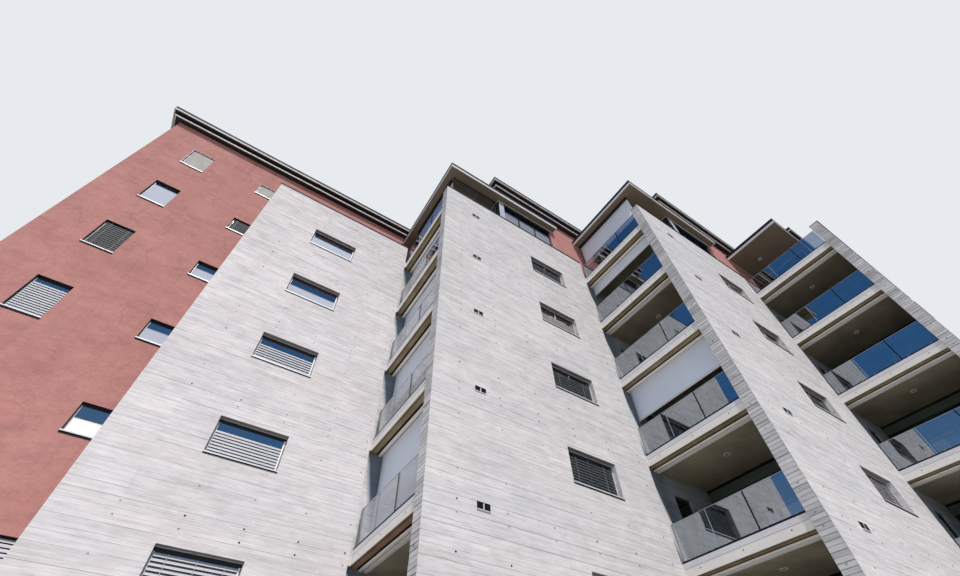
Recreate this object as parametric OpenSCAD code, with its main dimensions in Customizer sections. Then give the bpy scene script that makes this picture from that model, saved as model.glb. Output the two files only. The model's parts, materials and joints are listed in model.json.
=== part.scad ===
// Stepped apartment block, from ground level up. Units: mm, +Z up, +X to the
// right along the street front, +Y into the block. Front walls face -Y.
// Four bays (a, b, c, d) each step forward of the one on their left, and the
// step between two bays holds a stack of loggias that open towards -X.

/* [Storeys] */
// Height from one floor to the next
storey_h = 2950; // [2700:10:3300]
// Level of the ground floor above the ground
base_h = 120; // [60:10:300]
// Thickness of a floor slab, seen as the pale loggia edge
slab_t = 330; // [200:10:400]

/* [Bays] */
// Width of the red front on the far left
red_w = 4850; // [4200:10:6000]
// Width of concrete front wall a
bay_a_w = 5740; // [5000:10:7000]
// Width of concrete front wall b
bay_b_w = 7100; // [6600:10:8000]
// Width of concrete front wall c
bay_c_w = 7180; // [6600:10:8000]
// Width of concrete front wall d
bay_d_w = 7180; // [6600:10:8000]
// Step forward from wall a to wall b
step_ab = 3510; // [3200:10:4000]
// Step forward from wall b to wall c
step_bc = 3520; // [3200:10:4000]
// Step forward from wall c to wall d
step_cd = 3590; // [3200:10:4000]
// How far the red front stands back from wall a
red_back = 1215; // [900:5:1800]
// Depth of the block behind the red front
depth_red = 10980; // [9000:10:14000]
// Thickness of the outer walls
wall_t = 350; // [240:10:450]

/* [Loggias] */
// Depth of a loggia from its open side to its glazed back
loggia_d = 2650; // [2200:10:3000]
// Height of the lintel over the loggia glazing
lintel_h = 350; // [200:10:500]
// How far the slab edge stands behind the wall ends
edge_in = 50; // [10:5:80]
// How far the rear wall of a loggia stands behind the front wall beside it
rear_in = 100; // [20:10:200]
// Thickness of the loggia's inner walls
inner_t = 270; // [200:10:350]
// Height of the glass railing
rail_h = 950; // [900:10:1100]
// Thickness of the railing glass
rail_t = 22; // [16:1:30]
// Distance from the open side to the drop screen
screen_in = 430; // [380:5:500]

/* [Windows] */
// Width of a concrete wall's window
win_w = 1650; // [1400:10:1900]
// Height of a concrete wall's window
win_h = 980; // [800:10:1200]
// Width of a tall window in a red wall
tall_w = 820; // [700:10:1000]
// Height of a tall window in a red wall
tall_h = 1270; // [1000:10:1500]
// Width of a small window in a red wall
small_w = 780; // [640:10:840]
// Height of a small window in a red wall
small_h = 790; // [600:10:900]

/* [Roofs] */
// Height of the parapet above the attic floor
parapet_h = 1190; // [1000:10:1300]
// Height of the attic wall above the attic floor
attic_h = 3790; // [3500:10:4000]
// Underside of the low roof above the attic floor
low_h = 2800; // [2500:10:2900]
// Thickness of the low roof
low_t = 300; // [200:10:400]
// How far the low roof stands out in front
low_over = 240; // [150:10:350]
// How far the top roof plate stands out
eave_1 = 390; // [300:10:500]
// How far the lower roof plate stands out
eave_2 = 245; // [150:5:280]
// Height of each roof plate
eave_h = 230; // [150:10:300]
// How far the attic wall of a bay stands behind its concrete wall
attic_in = 80; // [40:5:150]
// How far the attic of bay d stands back
attic_d_in = 1355; // [1000:5:1800]
// Where the red corner block starts, from the bay's left end
red_corner = 5630; // [5000:10:6000]

/* [Hidden] */

t = wall_t;
cap_h = 30;
cap_o = 25;
floors = 6;                       // floors above the ground floor
function F(i) = base_h + i * storey_h;   // top of floor i
AF = F(floors);                   // attic floor
PT = AF + parapet_h;              // parapet top
WT = AF + attic_h;                // attic wall top

// plan lines, before centring
total_w = red_w + bay_a_w + bay_b_w + bay_c_w + bay_d_w;
xR = -total_w / 2;
xA = xR + red_w;
xB = xA + bay_a_w;
xC = xB + bay_b_w;
xD = xC + bay_c_w;
xE = xD + bay_d_w;
y_front = -(step_bc + step_cd) - cap_o;
y_rear = step_ab + red_back + depth_red + eave_1;
yc = (y_front + y_rear) / 2;
yB = -yc;
yA = yB + step_ab;
yR = yA + red_back;
yC = yB - step_bc;
yD = yC - step_cd;
y4 = yR + depth_red;              // rear faces, stepping like the fronts
y3 = y4 - step_ab;
y2 = y3 - step_bc;
y1 = y2 - step_cd;
// left faces of the attic blocks, also the line of the loggia glazing
k1 = xB + loggia_d;
k2 = xC + loggia_d;
k3 = xD + loggia_d;
// front faces of the attic blocks
a1 = yB + attic_in;
a2 = yC + attic_in;
a3 = yD + attic_d_in;

sill_a = 1300;
sill_b = 1210;
sill_c = 1155;
win_a = bay_a_w - 2135 - win_w;   // from the bay's left end
win_b = 3980;
win_c = 3955;
tall_x = 1205;
tall_z = 1120;
small_x = 3965;
small_z = 1520;

module bx(x0, x1, y0, y1, z0, z1) {
  translate([x0, y0, z0]) cube([x1 - x0, y1 - y0, z1 - z0]);
}

// floor outline: inside the outer walls, out to the open side of each loggia
module plan() {
  polygon([
    [xR + t, yR + t], [xA + t, yR + t], [xA + t, yA + t],
    [xB, yA + t], [xB, yA], [xB + edge_in, yA], [xB + edge_in, yB + t],
    [xC, yB + t], [xC, yB], [xC + edge_in, yB], [xC + edge_in, yC + t],
    [xD, yC + t], [xD, yC], [xD + edge_in, yC], [xD + edge_in, yD + t],
    [xE - t, yD + t], [xE - t, y1 - t], [k3 - t, y1 - t], [k3 - t, y2 - t],
    [k2 - t, y2 - t], [k2 - t, y3 - t], [k1 - t, y3 - t], [k1 - t, y4 - t],
    [xR + t, y4 - t]]);
}

module floor_slab(i) {
  translate([0, 0, F(i) - (i == 0 ? base_h : slab_t)]) linear_extrude(i == 0 ? base_h : slab_t) plan();
}

c_conc = [0.80, 0.79, 0.77];
c_red = [0.70, 0.36, 0.33];
c_dark = [0.16, 0.17, 0.20];
c_slab = [0.72, 0.71, 0.69];
c_white = [0.86, 0.85, 0.83];
c_glass = [0.30, 0.42, 0.55, 0.6];
c_fab = [0.66, 0.68, 0.72];

module ground_slab() color(c_slab) floor_slab(0);
module floor_1() color(c_slab) floor_slab(1);
module floor_2() color(c_slab) floor_slab(2);
module floor_3() color(c_slab) floor_slab(3);
module floor_4() color(c_slab) floor_slab(4);
module floor_5() color(c_slab) floor_slab(5);
module attic_floor() color(c_slab) floor_slab(6);

// row of equal window holes through a wall that faces -Y, one a storey
module holes_y(x, w, z, h, y0, y1, n) {
  for (i = [0 : n - 1]) bx(x, x + w, y0 - 50, y1 + 50, F(i) + z, F(i) + z + h);
}
// the same through a wall that faces -X
module holes_x(y, w, z, h, x0, x1, n) {
  for (i = [0 : n - 1]) bx(x0 - 50, x1 + 50, y, y + w, F(i) + z, F(i) + z + h);
}

module front_wall_a() color(c_conc) difference() {
  union() {
    bx(xA, xB, yA, yA + t, 0, PT - cap_h);
    bx(xA, xA + t, yA + t, yR, 0, PT - cap_h);
  }
  holes_y(xA + win_a, win_w, sill_a, win_h, yA, yA + t, floors);
}
module front_wall_b() color(c_conc) difference() {
  bx(xB, xC, yB, yB + t, 0, PT - cap_h);
  holes_y(xB + win_b, win_w, sill_b, win_h, yB, yB + t, floors);
}
module front_wall_c() color(c_conc) difference() {
  bx(xC, xD, yC, yC + t, 0, PT - cap_h);
  holes_y(xC + win_c, win_w, sill_c, win_h, yC, yC + t, floors);
}
module front_wall_d() color(c_conc) difference() {
  bx(xD, xE, yD, yD + t, 0, PT - cap_h);
  holes_y(xD + win_c, win_w, sill_c, win_h, yD, yD + t, floors);
}
module front_wall_red() color(c_red) difference() {
  bx(xR, xA + t, yR, yR + t, 0, WT);
  holes_y(xR + tall_x, tall_w, tall_z, tall_h, yR, yR + t, floors + 1);
  holes_y(xR + small_x, small_w, small_z, small_h, yR, yR + t, floors + 1);
}
side_y = [2400, 7400];
module left_wall() color(c_red) difference() {
  bx(xR, xR + t, yR + t, y4, 0, WT);
  for (s = side_y) holes_x(yR + s, tall_w, tall_z, tall_h, xR, xR + t, floors + 1);
}
module right_wall() color(c_red) difference() {
  union() {
    bx(xE - t, xE, yD + t, a3, 0, PT - cap_h);
    bx(xE - t, xE, a3, y1, 0, WT);
  }
  for (s = side_y) holes_x(yD + s, tall_w, tall_z, tall_h, xE - t, xE, floors + 1);
}

back_x = [1300, 4700];
// a rear wall with its two columns of windows
module rear(x0, x1, y) {
  difference() {
    bx(x0, x1, y - t, y, 0, WT);
    for (s = back_x) holes_y(x0 + s, tall_w, tall_z, tall_h, y - t, y, floors + 1);
  }
}
door_w = 1500;
door_h = 2300;
door_x = k1 + 2600;
module back_wall_1() color(c_red) rear(xR + t, k1, y4);
module back_wall_2() color(c_red) difference() {
  rear(k1 - t, k2, y3);
  bx(door_x, door_x + door_w, y3 - t - 50, y3 + 50, base_h, base_h + door_h);
}
module back_wall_3() color(c_red) rear(k2 - t, k3, y2);
module back_wall_4() color(c_red) rear(k3 - t, xE - t, y1);
// plain walls that face right where the rear steps
module return_walls() color(c_red) {
  bx(k1 - t, k1, y3, y4 - t, 0, WT);
  bx(k2 - t, k2, y2, y3 - t, 0, WT);
  bx(k3 - t, k3, y1, y2 - t, 0, WT);
}

// attic walls: the front piece, the band over the ribbon window and the
// wall over the low roof on the block's left side
module attic_wall_a() color(c_red) bx(xA + t, k1 + inner_t, yR, yR + t, AF, WT);
module attic_wall_b() color(c_red) {
  bx(xB + red_corner, xC, a1, yB + t, PT, WT);
  bx(xC, k2 + inner_t, a1, yB + t, AF, WT);
  bx(k1, xB + red_corner, a1, yB + t, AF + low_h, WT);
  bx(k1, k1 + inner_t, yB + t, yR, AF + low_h, WT);
}
module attic_wall_c() color(c_red) {
  bx(xC + red_corner, xD, a2, yC + t, PT, WT);
  bx(xD, k3 + inner_t, a2, yC + t, AF, WT);
  bx(k2, xC + red_corner, a2, yC + t, AF + low_h, WT);
  bx(k2, k2 + inner_t, yC + t, a1, AF + low_h, WT);
}
module attic_wall_d() color(c_red) {
  bx(xD + red_corner, xE - t, a3, a3 + inner_t, AF, WT);
  bx(k3, xD + red_corner, a3, a3 + inner_t, AF + low_h, WT);
  bx(k3, k3 + inner_t, a3 + inner_t, a2, AF + low_h, WT);
}
module attic_windows() color(c_glass) {
  bx(xB + 340, k1 - 100, yB + 190, yB + 215, PT, AF + low_h);
  bx(k1 + inner_t, xB + red_corner, a1 + 90, a1 + 150, PT, AF + low_h);
  bx(k2 + inner_t, xC + red_corner, a2 + 90, a2 + 150, PT, AF + low_h);
  bx(k3 + inner_t, xD + red_corner, a3 + 90, a3 + 150, AF, AF + low_h);
}
module attic_posts() color(c_white) {
  bx(k1, k1 + inner_t, yB + 40, yB + t, PT, AF + low_h);
  bx(k2, k2 + inner_t, yC + 40, yC + t, PT, AF + low_h);
  bx(k3, k3 + inner_t, a3, a3 + inner_t, AF, AF + low_h);
}

// Loggia walls: a rear wall in three pieces, left, right and over a narrow door
rd_x = 880;
rd_w = 690;
rd_h = 2030;
module rear_pieces(x, kx, y1) {
  for (i = [0 : floors - 1]) {
    bx(x, x + rd_x, y1 + rear_in, y1 + t, F(i), F(i + 1) - slab_t);
    bx(x + rd_x + rd_w, kx + inner_t, y1 + rear_in, y1 + t, F(i), F(i + 1) - slab_t);
    bx(x + rd_x, x + rd_x + rd_w, y1 + rear_in, y1 + t, F(i) + rd_h, F(i + 1) - slab_t);
  }
}
module loggia_walls() color(c_slab) {
  rear_pieces(xB, k1, yA);
  rear_pieces(xC, k2, yB);
  rear_pieces(xD, k3, yC);
}
// lintels over the glazed back of each loggia
module lintels(kx, y0, y1) {
  for (i = [0 : floors - 1]) bx(kx, kx + inner_t, y0, y1, F(i + 1) - slab_t - lintel_h, F(i + 1) - slab_t);
}
module loggia_lintels() color(c_dark) {
  lintels(k1, yB + t, yA + rear_in);
  lintels(k2, yC + t, yB + rear_in);
  lintels(k3, yD + t, yC + rear_in);
}

module loggia_doors(x, kx, y0, y1, ya, yz) {
  for (i = [0 : floors]) {
    z0 = F(i);
    z1 = (i < floors ? F(i + 1) - slab_t : AF + low_h) - (i < floors ? lintel_h : 0);
    w = (i < floors ? y1 + rear_in - y0 : yz - ya);
    s = i < floors ? y0 : ya;
    for (j = [0 : 3]) bx(kx + 60 + (j % 2) * 75, kx + 130 + (j % 2) * 75, s + j * w / 4, s + (j + 1) * w / 4, z0, z1);
    if (i < floors) bx(x + rd_x, x + rd_x + rd_w, y1 + rear_in + 60, y1 + rear_in + 130, z0, z0 + rd_h);
  }
}
module loggia_doors_1() color(c_glass) loggia_doors(xB, k1, yB + t, yA, yB + t, yR);
module loggia_doors_2() color(c_glass) loggia_doors(xC, k2, yC + t, yB, yC + t, a1);
module loggia_doors_3() color(c_glass) loggia_doors(xD, k3, yD + t, yC, a3 + inner_t, a2);

shoe_h = 45;
module railing(x, y0, y1) {
  w = (y1 - y0 - 40) / 3;
  for (i = [0 : floors]) for (j = [0 : 2])
    bx(x + edge_in + 25, x + edge_in + 25 + rail_t, y0 + 14 + j * (w + 6), y0 + 14 + j * (w + 6) + w, F(i) + shoe_h, F(i) + rail_h);
}
module railing_1() color(c_glass) railing(xB, yB + t, yA);
module railing_2() color(c_glass) railing(xC, yC + t, yB);
module railing_3() color(c_glass) railing(xD, yD + t, yC);
module shoe(x, y0, y1) {
  for (i = [0 : floors]) bx(x + edge_in, x + edge_in + 70, y0, y1, F(i), F(i) + shoe_h);
}
module railing_shoes() color(c_dark) {
  shoe(xB, yB + t, yA);
  shoe(xC, yC + t, yB);
  shoe(xD, yD + t, yC);
}

box_w = 230;
box_h = 40;
module boxes(x, y0, y1, n) {
  for (i = [0 : n]) {
    z1 = i < floors ? F(i + 1) - slab_t : AF + low_h;
    bx(x + screen_in - 120, x + screen_in - 120 + box_w, y0, y1 + (i < floors ? rear_in : 0), z1 - box_h, z1);
  }
}
module screen_boxes() color(c_white) {
  boxes(xB, yB + t, yA, floors);
  boxes(xC, yC + t, yB, floors);
  boxes(xD, yD + t, yC, floors - 1);
}
module screen(x, y0, y1, i, drop) {
  z1 = i < floors ? F(i + 1) - slab_t : AF + low_h;
  bx(x + screen_in - 4, x + screen_in + 4, y0 + 30, y1 - 30 + (i < floors ? rear_in : 0), z1 - box_h - drop, z1 - box_h);
}
drops_1 = [[2, 2500], [3, 1350], [4, 2500], [5, 750], [6, 1450]];
drops_2 = [[3, 1140], [5, 520], [6, 1550]];
module drop_screens() color(c_fab) {
  for (d = drops_1) screen(xB, yB + t, yA, d[0], d[1]);
  for (d = drops_2) screen(xC, yC + t, yB, d[0], d[1]);
}

module low_roof(pts) {
  translate([0, 0, AF + low_h]) linear_extrude(low_t) polygon(pts);
}
// thin roofs over the attic loggias and the front edge of each attic block
module low_roofs() color(c_dark) {
  low_roof([[xB, yB - low_over], [xB + red_corner + 220, yB - low_over], [xB + red_corner + 220, a1],
    [k1, a1], [k1, yR], [xB, yR]]);
  low_roof([[xC, yC - low_over], [xC + red_corner + 220, yC - low_over], [xC + red_corner + 220, a2],
    [k2, a2], [k2, a1], [xC, a1]]);
  low_roof([[xD, a3 - 285], [xD + red_corner + 220, a3 - 285], [xD + red_corner + 220, a3],
    [k3, a3], [k3, a2], [xD, a2]]);
}

// outline of the attic storey, grown by o on every side
module roof_plan(o) {
  polygon([
    [xR - o, yR - o], [k1 - o, yR - o], [k1 - o, a1 - o], [k2 - o, a1 - o], [k2 - o, a2 - o],
    [k3 - o, a2 - o], [k3 - o, a3 - o], [xE + o, a3 - o], [xE + o, y1 + o],
    [k3 + o, y1 + o], [k3 + o, y2 + o], [k2 + o, y2 + o], [k2 + o, y3 + o],
    [k1 + o, y3 + o], [k1 + o, y4 + o], [xR - o, y4 + o]]);
}
module roof_cornice() color(c_dark) translate([0, 0, WT]) linear_extrude(eave_h) roof_plan(eave_2);
module roof_plate() color(c_dark) translate([0, 0, WT + eave_h]) linear_extrude(eave_h) roof_plan(eave_1);

module parapet_caps() color(c_dark) {
  translate([0, 0, PT - cap_h]) linear_extrude(cap_h) {
    polygon([[xA - cap_o, yA - cap_o], [xB, yA - cap_o], [xB, yA + t], [xA + t, yA + t], [xA + t, yR], [xA - cap_o, yR]]);
    polygon([[xB, yB - cap_o], [xC, yB - cap_o], [xC, yB + t], [xB, yB + t]]);
    polygon([[xC, yC - cap_o], [xD, yC - cap_o], [xD, yC + t], [xC, yC + t]]);
    polygon([[xD, yD - cap_o], [xE + cap_o, yD - cap_o], [xE + cap_o, a3], [xE - t, a3], [xE - t, yD + t], [xD, yD + t]]);
  }
}

pane_t = 60;
module panes_y(x, w, z, h, y, n) {
  for (i = [0 : n - 1]) bx(x, x + w, y, y + pane_t, F(i) + z, F(i) + z + h);
}
module panes_x(y, w, z, h, x, n) {
  for (i = [0 : n - 1]) bx(x, x + pane_t, y, y + w, F(i) + z, F(i) + z + h);
}
rv = 150;                         // reveal depth in front of a pane in the concrete walls
rv_r = 80;                        // reveal depth in front of a pane in the red walls
module windows_concrete() color(c_glass) {
  panes_y(xA + win_a, win_w, sill_a, win_h, yA + rv, floors);
  panes_y(xB + win_b, win_w, sill_b, win_h, yB + rv, floors);
  panes_y(xC + win_c, win_w, sill_c, win_h, yC + rv, floors);
  panes_y(xD + win_c, win_w, sill_c, win_h, yD + rv, floors);
}
module windows_red() color(c_glass) {
  panes_y(xR + tall_x, tall_w, tall_z, tall_h, yR + rv_r, floors + 1);
  panes_y(xR + small_x, small_w, small_z, small_h, yR + rv_r, floors + 1);
  for (s = side_y) {
    panes_x(yR + s, tall_w, tall_z, tall_h, xR + rv_r, floors + 1);
    panes_x(yD + s, tall_w, tall_z, tall_h, xE - rv_r - pane_t, floors + 1);
  }
}
module windows_back() color(c_glass) {
  for (s = back_x) {
    panes_y(xR + t + s, tall_w, tall_z, tall_h, y4 - rv_r - pane_t, floors + 1);
    panes_y(k1 - t + s, tall_w, tall_z, tall_h, y3 - rv_r - pane_t, floors + 1);
    panes_y(k2 - t + s, tall_w, tall_z, tall_h, y2 - rv_r - pane_t, floors + 1);
  }
  panes_y(k3 - t + back_x[0], tall_w, tall_z, tall_h, y1 - rv_r - pane_t, floors + 1);
}
module entrance_door() color(c_dark)
  bx(door_x, door_x + door_w, y3 - 180, y3 - 110, base_h, base_h + door_h);

// one round light in the middle of each loggia ceiling
module light(x, y, i0, i1) {
  for (i = [i0 : i1]) translate([x, y, (i < floors ? F(i + 1) - slab_t : AF + low_h) - 12])
    cylinder(h = 12, r = 85, $fn = 32);
}
module downlights() color(c_white) {
  light(xB + 1400, (yB + t + yA) / 2, 0, floors);
  light(xC + 1400, (yC + t + yB) / 2, 0, floors);
  light(xD + 1400, (yD + t + yC) / 2, 0, floors - 1);
  light(xD + 1310, (a3 + a2) / 2 + 240, floors, floors);
}

ground_slab();
floor_1();
floor_2();
floor_3();
floor_4();
floor_5();
attic_floor();
front_wall_a();
front_wall_b();
front_wall_c();
front_wall_d();
front_wall_red();
left_wall();
right_wall();
back_wall_1();
back_wall_2();
back_wall_3();
back_wall_4();
return_walls();
attic_wall_a();
attic_wall_b();
attic_wall_c();
attic_wall_d();
attic_windows();
attic_posts();
loggia_walls();
loggia_lintels();
loggia_doors_1();
loggia_doors_2();
loggia_doors_3();
railing_1();
railing_2();
railing_3();
railing_shoes();
screen_boxes();
drop_screens();
low_roofs();
roof_plate();
roof_cornice();
parapet_caps();
windows_concrete();
windows_red();
windows_back();
entrance_door();
downlights();
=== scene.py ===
import bpy
import json
import math
import numpy as np
from mathutils import Matrix, Vector

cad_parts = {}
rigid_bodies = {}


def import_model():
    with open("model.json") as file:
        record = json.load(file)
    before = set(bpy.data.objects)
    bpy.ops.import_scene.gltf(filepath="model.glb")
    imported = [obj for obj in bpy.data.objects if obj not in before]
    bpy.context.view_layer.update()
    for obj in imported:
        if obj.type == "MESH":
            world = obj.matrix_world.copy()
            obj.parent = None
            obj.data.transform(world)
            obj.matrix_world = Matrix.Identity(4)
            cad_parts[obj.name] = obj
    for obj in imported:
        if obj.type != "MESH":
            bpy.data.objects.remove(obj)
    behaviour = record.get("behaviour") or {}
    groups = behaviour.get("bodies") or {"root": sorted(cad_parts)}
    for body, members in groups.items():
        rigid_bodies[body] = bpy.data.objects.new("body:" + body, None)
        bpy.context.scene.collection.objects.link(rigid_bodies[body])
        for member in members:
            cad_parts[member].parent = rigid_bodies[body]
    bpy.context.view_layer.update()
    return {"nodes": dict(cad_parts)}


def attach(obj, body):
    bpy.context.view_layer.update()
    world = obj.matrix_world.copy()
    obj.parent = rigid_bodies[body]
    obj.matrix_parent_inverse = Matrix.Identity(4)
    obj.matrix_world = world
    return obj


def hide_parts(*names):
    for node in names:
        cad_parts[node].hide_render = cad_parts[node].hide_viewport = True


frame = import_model()
NODES = frame["nodes"]

# ---------------------------------------------------------------- plan, in metres
XR, XA, XB, XC, XD, XE = -16.025, -11.175, -5.435, 1.665, 8.845, 16.025
YR, YA, YB, YC, YD = 0.245, -0.970, -4.480, -8.000, -11.590
Y1, Y2, Y3, Y4 = 0.605, 4.195, 7.715, 11.225
K1, K2, K3 = -2.785, 4.315, 11.495
A1, A2, A3 = -4.400, -7.920, -10.235
T = 0.35
ST = 2.95
PT, WT = 19.01, 21.61


def F(i):
    return 0.12 + ST * i


AF = F(6)
LR = AF + 2.80


def soffit(i):
    return F(i + 1) - 0.33 if i < 6 else LR


# ---------------------------------------------------------------- mesh building
class Wall:
    """Turns (along the wall, depth behind its face, height) into a point."""

    def __init__(self, kind, face, u0=0.0):
        self.k, self.c, self.u0 = kind, face, u0
        self.flip = kind in ("+y", "-x")

    def p(self, u, d, z):
        u += self.u0
        if self.k == "-y":
            return (u, self.c + d, z)
        if self.k == "+y":
            return (u, self.c - d, z)
        if self.k == "-x":
            return (self.c + d, u, z)
        return (self.c - d, u, z)


WORLD = Wall("-y", 0.0)
BOX = ((0, 3, 2, 1), (4, 5, 6, 7), (0, 1, 5, 4), (1, 2, 6, 5), (2, 3, 7, 6), (3, 0, 4, 7))


class Build:
    def __init__(self):
        self.v, self.f, self.m, self.t = [], [], [], []

    def face(self, w, pts, m=0, t=0.5):
        i = len(self.v)
        self.v += [w.p(*p) for p in pts]
        ids = list(range(i, i + len(pts)))
        self.f.append(tuple(ids[::-1] if w.flip else ids))
        self.m.append(m)
        self.t.append(t)

    def ids(self, w, idx, m=0, t=0.5):
        self.f.append(tuple(idx[::-1] if w.flip else idx))
        self.m.append(m)
        self.t.append(t)

    def box(self, w, u0, u1, d0, d1, z0, z1, m=0, t=0.5, skip=()):
        i = len(self.v)
        self.v += [w.p(*p) for p in (
            (u0, d0, z0), (u1, d0, z0), (u1, d1, z0), (u0, d1, z0),
            (u0, d0, z1), (u1, d0, z1), (u1, d1, z1), (u0, d1, z1))]
        for n, q in enumerate(BOX):
            if n not in skip:
                self.ids(w, [i + k for k in q], m, t)

    def bevelbox(self, w, u0, u1, d0, d1, z0, z1, b, m=0, t=0.5):
        """Bar along z with its two outer edges eased by b."""
        self.prism_z(w, [(u0, d1), (u0, d0 + b), (u0 + b, d0), (u1 - b, d0), (u1, d0 + b), (u1, d1)], z0, z1, m, t)

    def prism(self, w, poly, u0, u1, m=0, t=0.5):
        """Polygon of (depth, height) points run along the wall."""
        a = sum(p[0] * q[1] - q[0] * p[1] for p, q in zip(poly, poly[1:] + poly[:1]))
        if a < 0:
            poly = poly[::-1]
        i, n = len(self.v), len(poly)
        self.v += [w.p(u0, d, z) for d, z in poly] + [w.p(u1, d, z) for d, z in poly]
        for k in range(n):
            j = (k + 1) % n
            self.ids(w, [i + k, i + j, i + n + j, i + n + k], m, t)
        self.ids(w, [i + n + k for k in range(n)], m, t)
        self.ids(w, [i + k for k in range(n)][::-1], m, t)

    def prism_z(self, w, poly, z0, z1, m=0, t=0.5, mtop=None, mbot=None):
        """Polygon of (along, depth) points run upwards."""
        a = sum(p[0] * q[1] - q[0] * p[1] for p, q in zip(poly, poly[1:] + poly[:1]))
        if a < 0:
            poly = poly[::-1]
        i, n = len(self.v), len(poly)
        self.v += [w.p(u, d, z0) for u, d in poly] + [w.p(u, d, z1) for u, d in poly]
        for k in range(n):
            j = (k + 1) % n
            self.ids(w, [i + k, i + j, i + n + j, i + n + k], m, t)
        self.ids(w, [i + n + k for k in range(n)], m if mtop is None else mtop, t)
        self.ids(w, [i + k for k in range(n)][::-1], m if mbot is None else mbot, t)

    def ring(self, outer, inner, z0, z1, m=0, t=0.5):
        """Closed band between two plan outlines with as many corners."""
        n, i = len(outer), len(self.v)
        for z in (z0, z1):
            self.v += [(x, y, z) for x, y in outer] + [(x, y, z) for x, y in inner]
        for k in range(n):
            j = (k + 1) % n
            o0, o1, n0, n1 = i + k, i + j, i + n + k, i + n + j
            self.ids(WORLD, [o0, o1, o1 + 2 * n, o0 + 2 * n], m, t)
            self.ids(WORLD, [n1, n0, n0 + 2 * n, n1 + 2 * n], m, t)
            self.ids(WORLD, [o0 + 2 * n, o1 + 2 * n, n1 + 2 * n, n0 + 2 * n], m, t)
            self.ids(WORLD, [o1, o0, n0, n1], m, t)

    def grid(self, w, us, ds, zs, solid, m=0, t=0.5):
        """One closed shell round the cells that are solid."""
        at = {}

        def vid(a, b, c):
            if (a, b, c) not in at:
                at[a, b, c] = len(self.v)
                self.v.append(w.p(us[a], ds[b], zs[c]))
            return at[a, b, c]

        na, nb, nc = len(us) - 1, len(ds) - 1, len(zs) - 1

        def full(a, b, c):
            return 0 <= a < na and 0 <= b < nb and 0 <= c < nc and solid(a, b, c)

        for a in range(na):
            for b in range(nb):
                for c in range(nc):
                    if not full(a, b, c):
                        continue
                    q = [vid(a, b, c), vid(a + 1, b, c), vid(a + 1, b + 1, c), vid(a, b + 1, c),
                         vid(a, b, c + 1), vid(a + 1, b, c + 1), vid(a + 1, b + 1, c + 1), vid(a, b + 1, c + 1)]
                    near = ((a, b, c - 1), (a, b, c + 1), (a, b - 1, c), (a + 1, b, c), (a, b + 1, c), (a - 1, b, c))
                    for k, s in zip(BOX, near):
                        if not full(*s):
                            self.ids(w, [q[x] for x in k], m, t)

    def disc_hole(self, w, u, z, half, r, d0, deep, m, mh, t, n=12):
        """Square patch on the face with a small tapered round hole in it."""
        i = len(self.v)
        sq = []
        for k in range(n):
            a = 2 * math.pi * (k + 0.5) / n
            c, s = math.cos(a), math.sin(a)
            g = half / max(abs(c), abs(s))
            sq.append((u + c * g, z + s * g))
        rim = [(u + r * math.cos(2 * math.pi * (k + 0.5) / n), z + r * math.sin(2 * math.pi * (k + 0.5) / n)) for k in range(n)]
        low = [(u + 0.72 * (x - u), z + 0.72 * (y - z)) for x, y in rim]
        self.v += [w.p(x, d0, y) for x, y in sq] + [w.p(x, d0, y) for x, y in rim] + [w.p(x, d0 + deep, y) for x, y in low]
        for k in range(n):
            j = (k + 1) % n
            self.ids(w, [i + k, i + j, i + n + j, i + n + k], m, t)
            self.ids(w, [i + n + k, i + n + j, i + 2 * n + j, i + 2 * n + k], mh, t)
        self.ids(w, [i + 2 * n + k for k in range(n)], mh, t)


def make(name, b, mats, replaces=(), smooth=False, body="root"):
    me = bpy.data.meshes.new(name)
    me.from_pydata(b.v, [], b.f)
    for m in mats:
        me.materials.append(m)
    me.polygons.foreach_set("material_index", np.array(b.m, np.int32))
    if smooth:
        me.polygons.foreach_set("use_smooth", np.ones(len(b.f), bool))
    at = me.attributes.new("tone", "FLOAT", "FACE")
    at.data.foreach_set("value", np.array(b.t, np.float32))
    me.validate()
    me.update()
    ob = bpy.data.objects.new(name, me)
    bpy.context.scene.collection.objects.link(ob)
    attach(ob, body)
    if replaces:
        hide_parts(*replaces)
    return ob


def inset(poly, d):
    """Plan outline, anticlockwise, moved inwards by d."""
    n, out = len(poly), []
    for i in range(n):
        (x0, y0), (x1, y1), (x2, y2) = poly[i - 1], poly[i], poly[(i + 1) % n]
        a = np.array((x1 - x0, y1 - y0)) / math.hypot(x1 - x0, y1 - y0)
        b = np.array((x2 - x1, y2 - y1)) / math.hypot(x2 - x1, y2 - y1)
        na, nb = np.array((-a[1], a[0])), np.array((-b[1], b[0]))
        k = 1 + na @ nb
        out.append((x1 + d * (na + nb)[0] / k, y1 + d * (na + nb)[1] / k))
    return out


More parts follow.
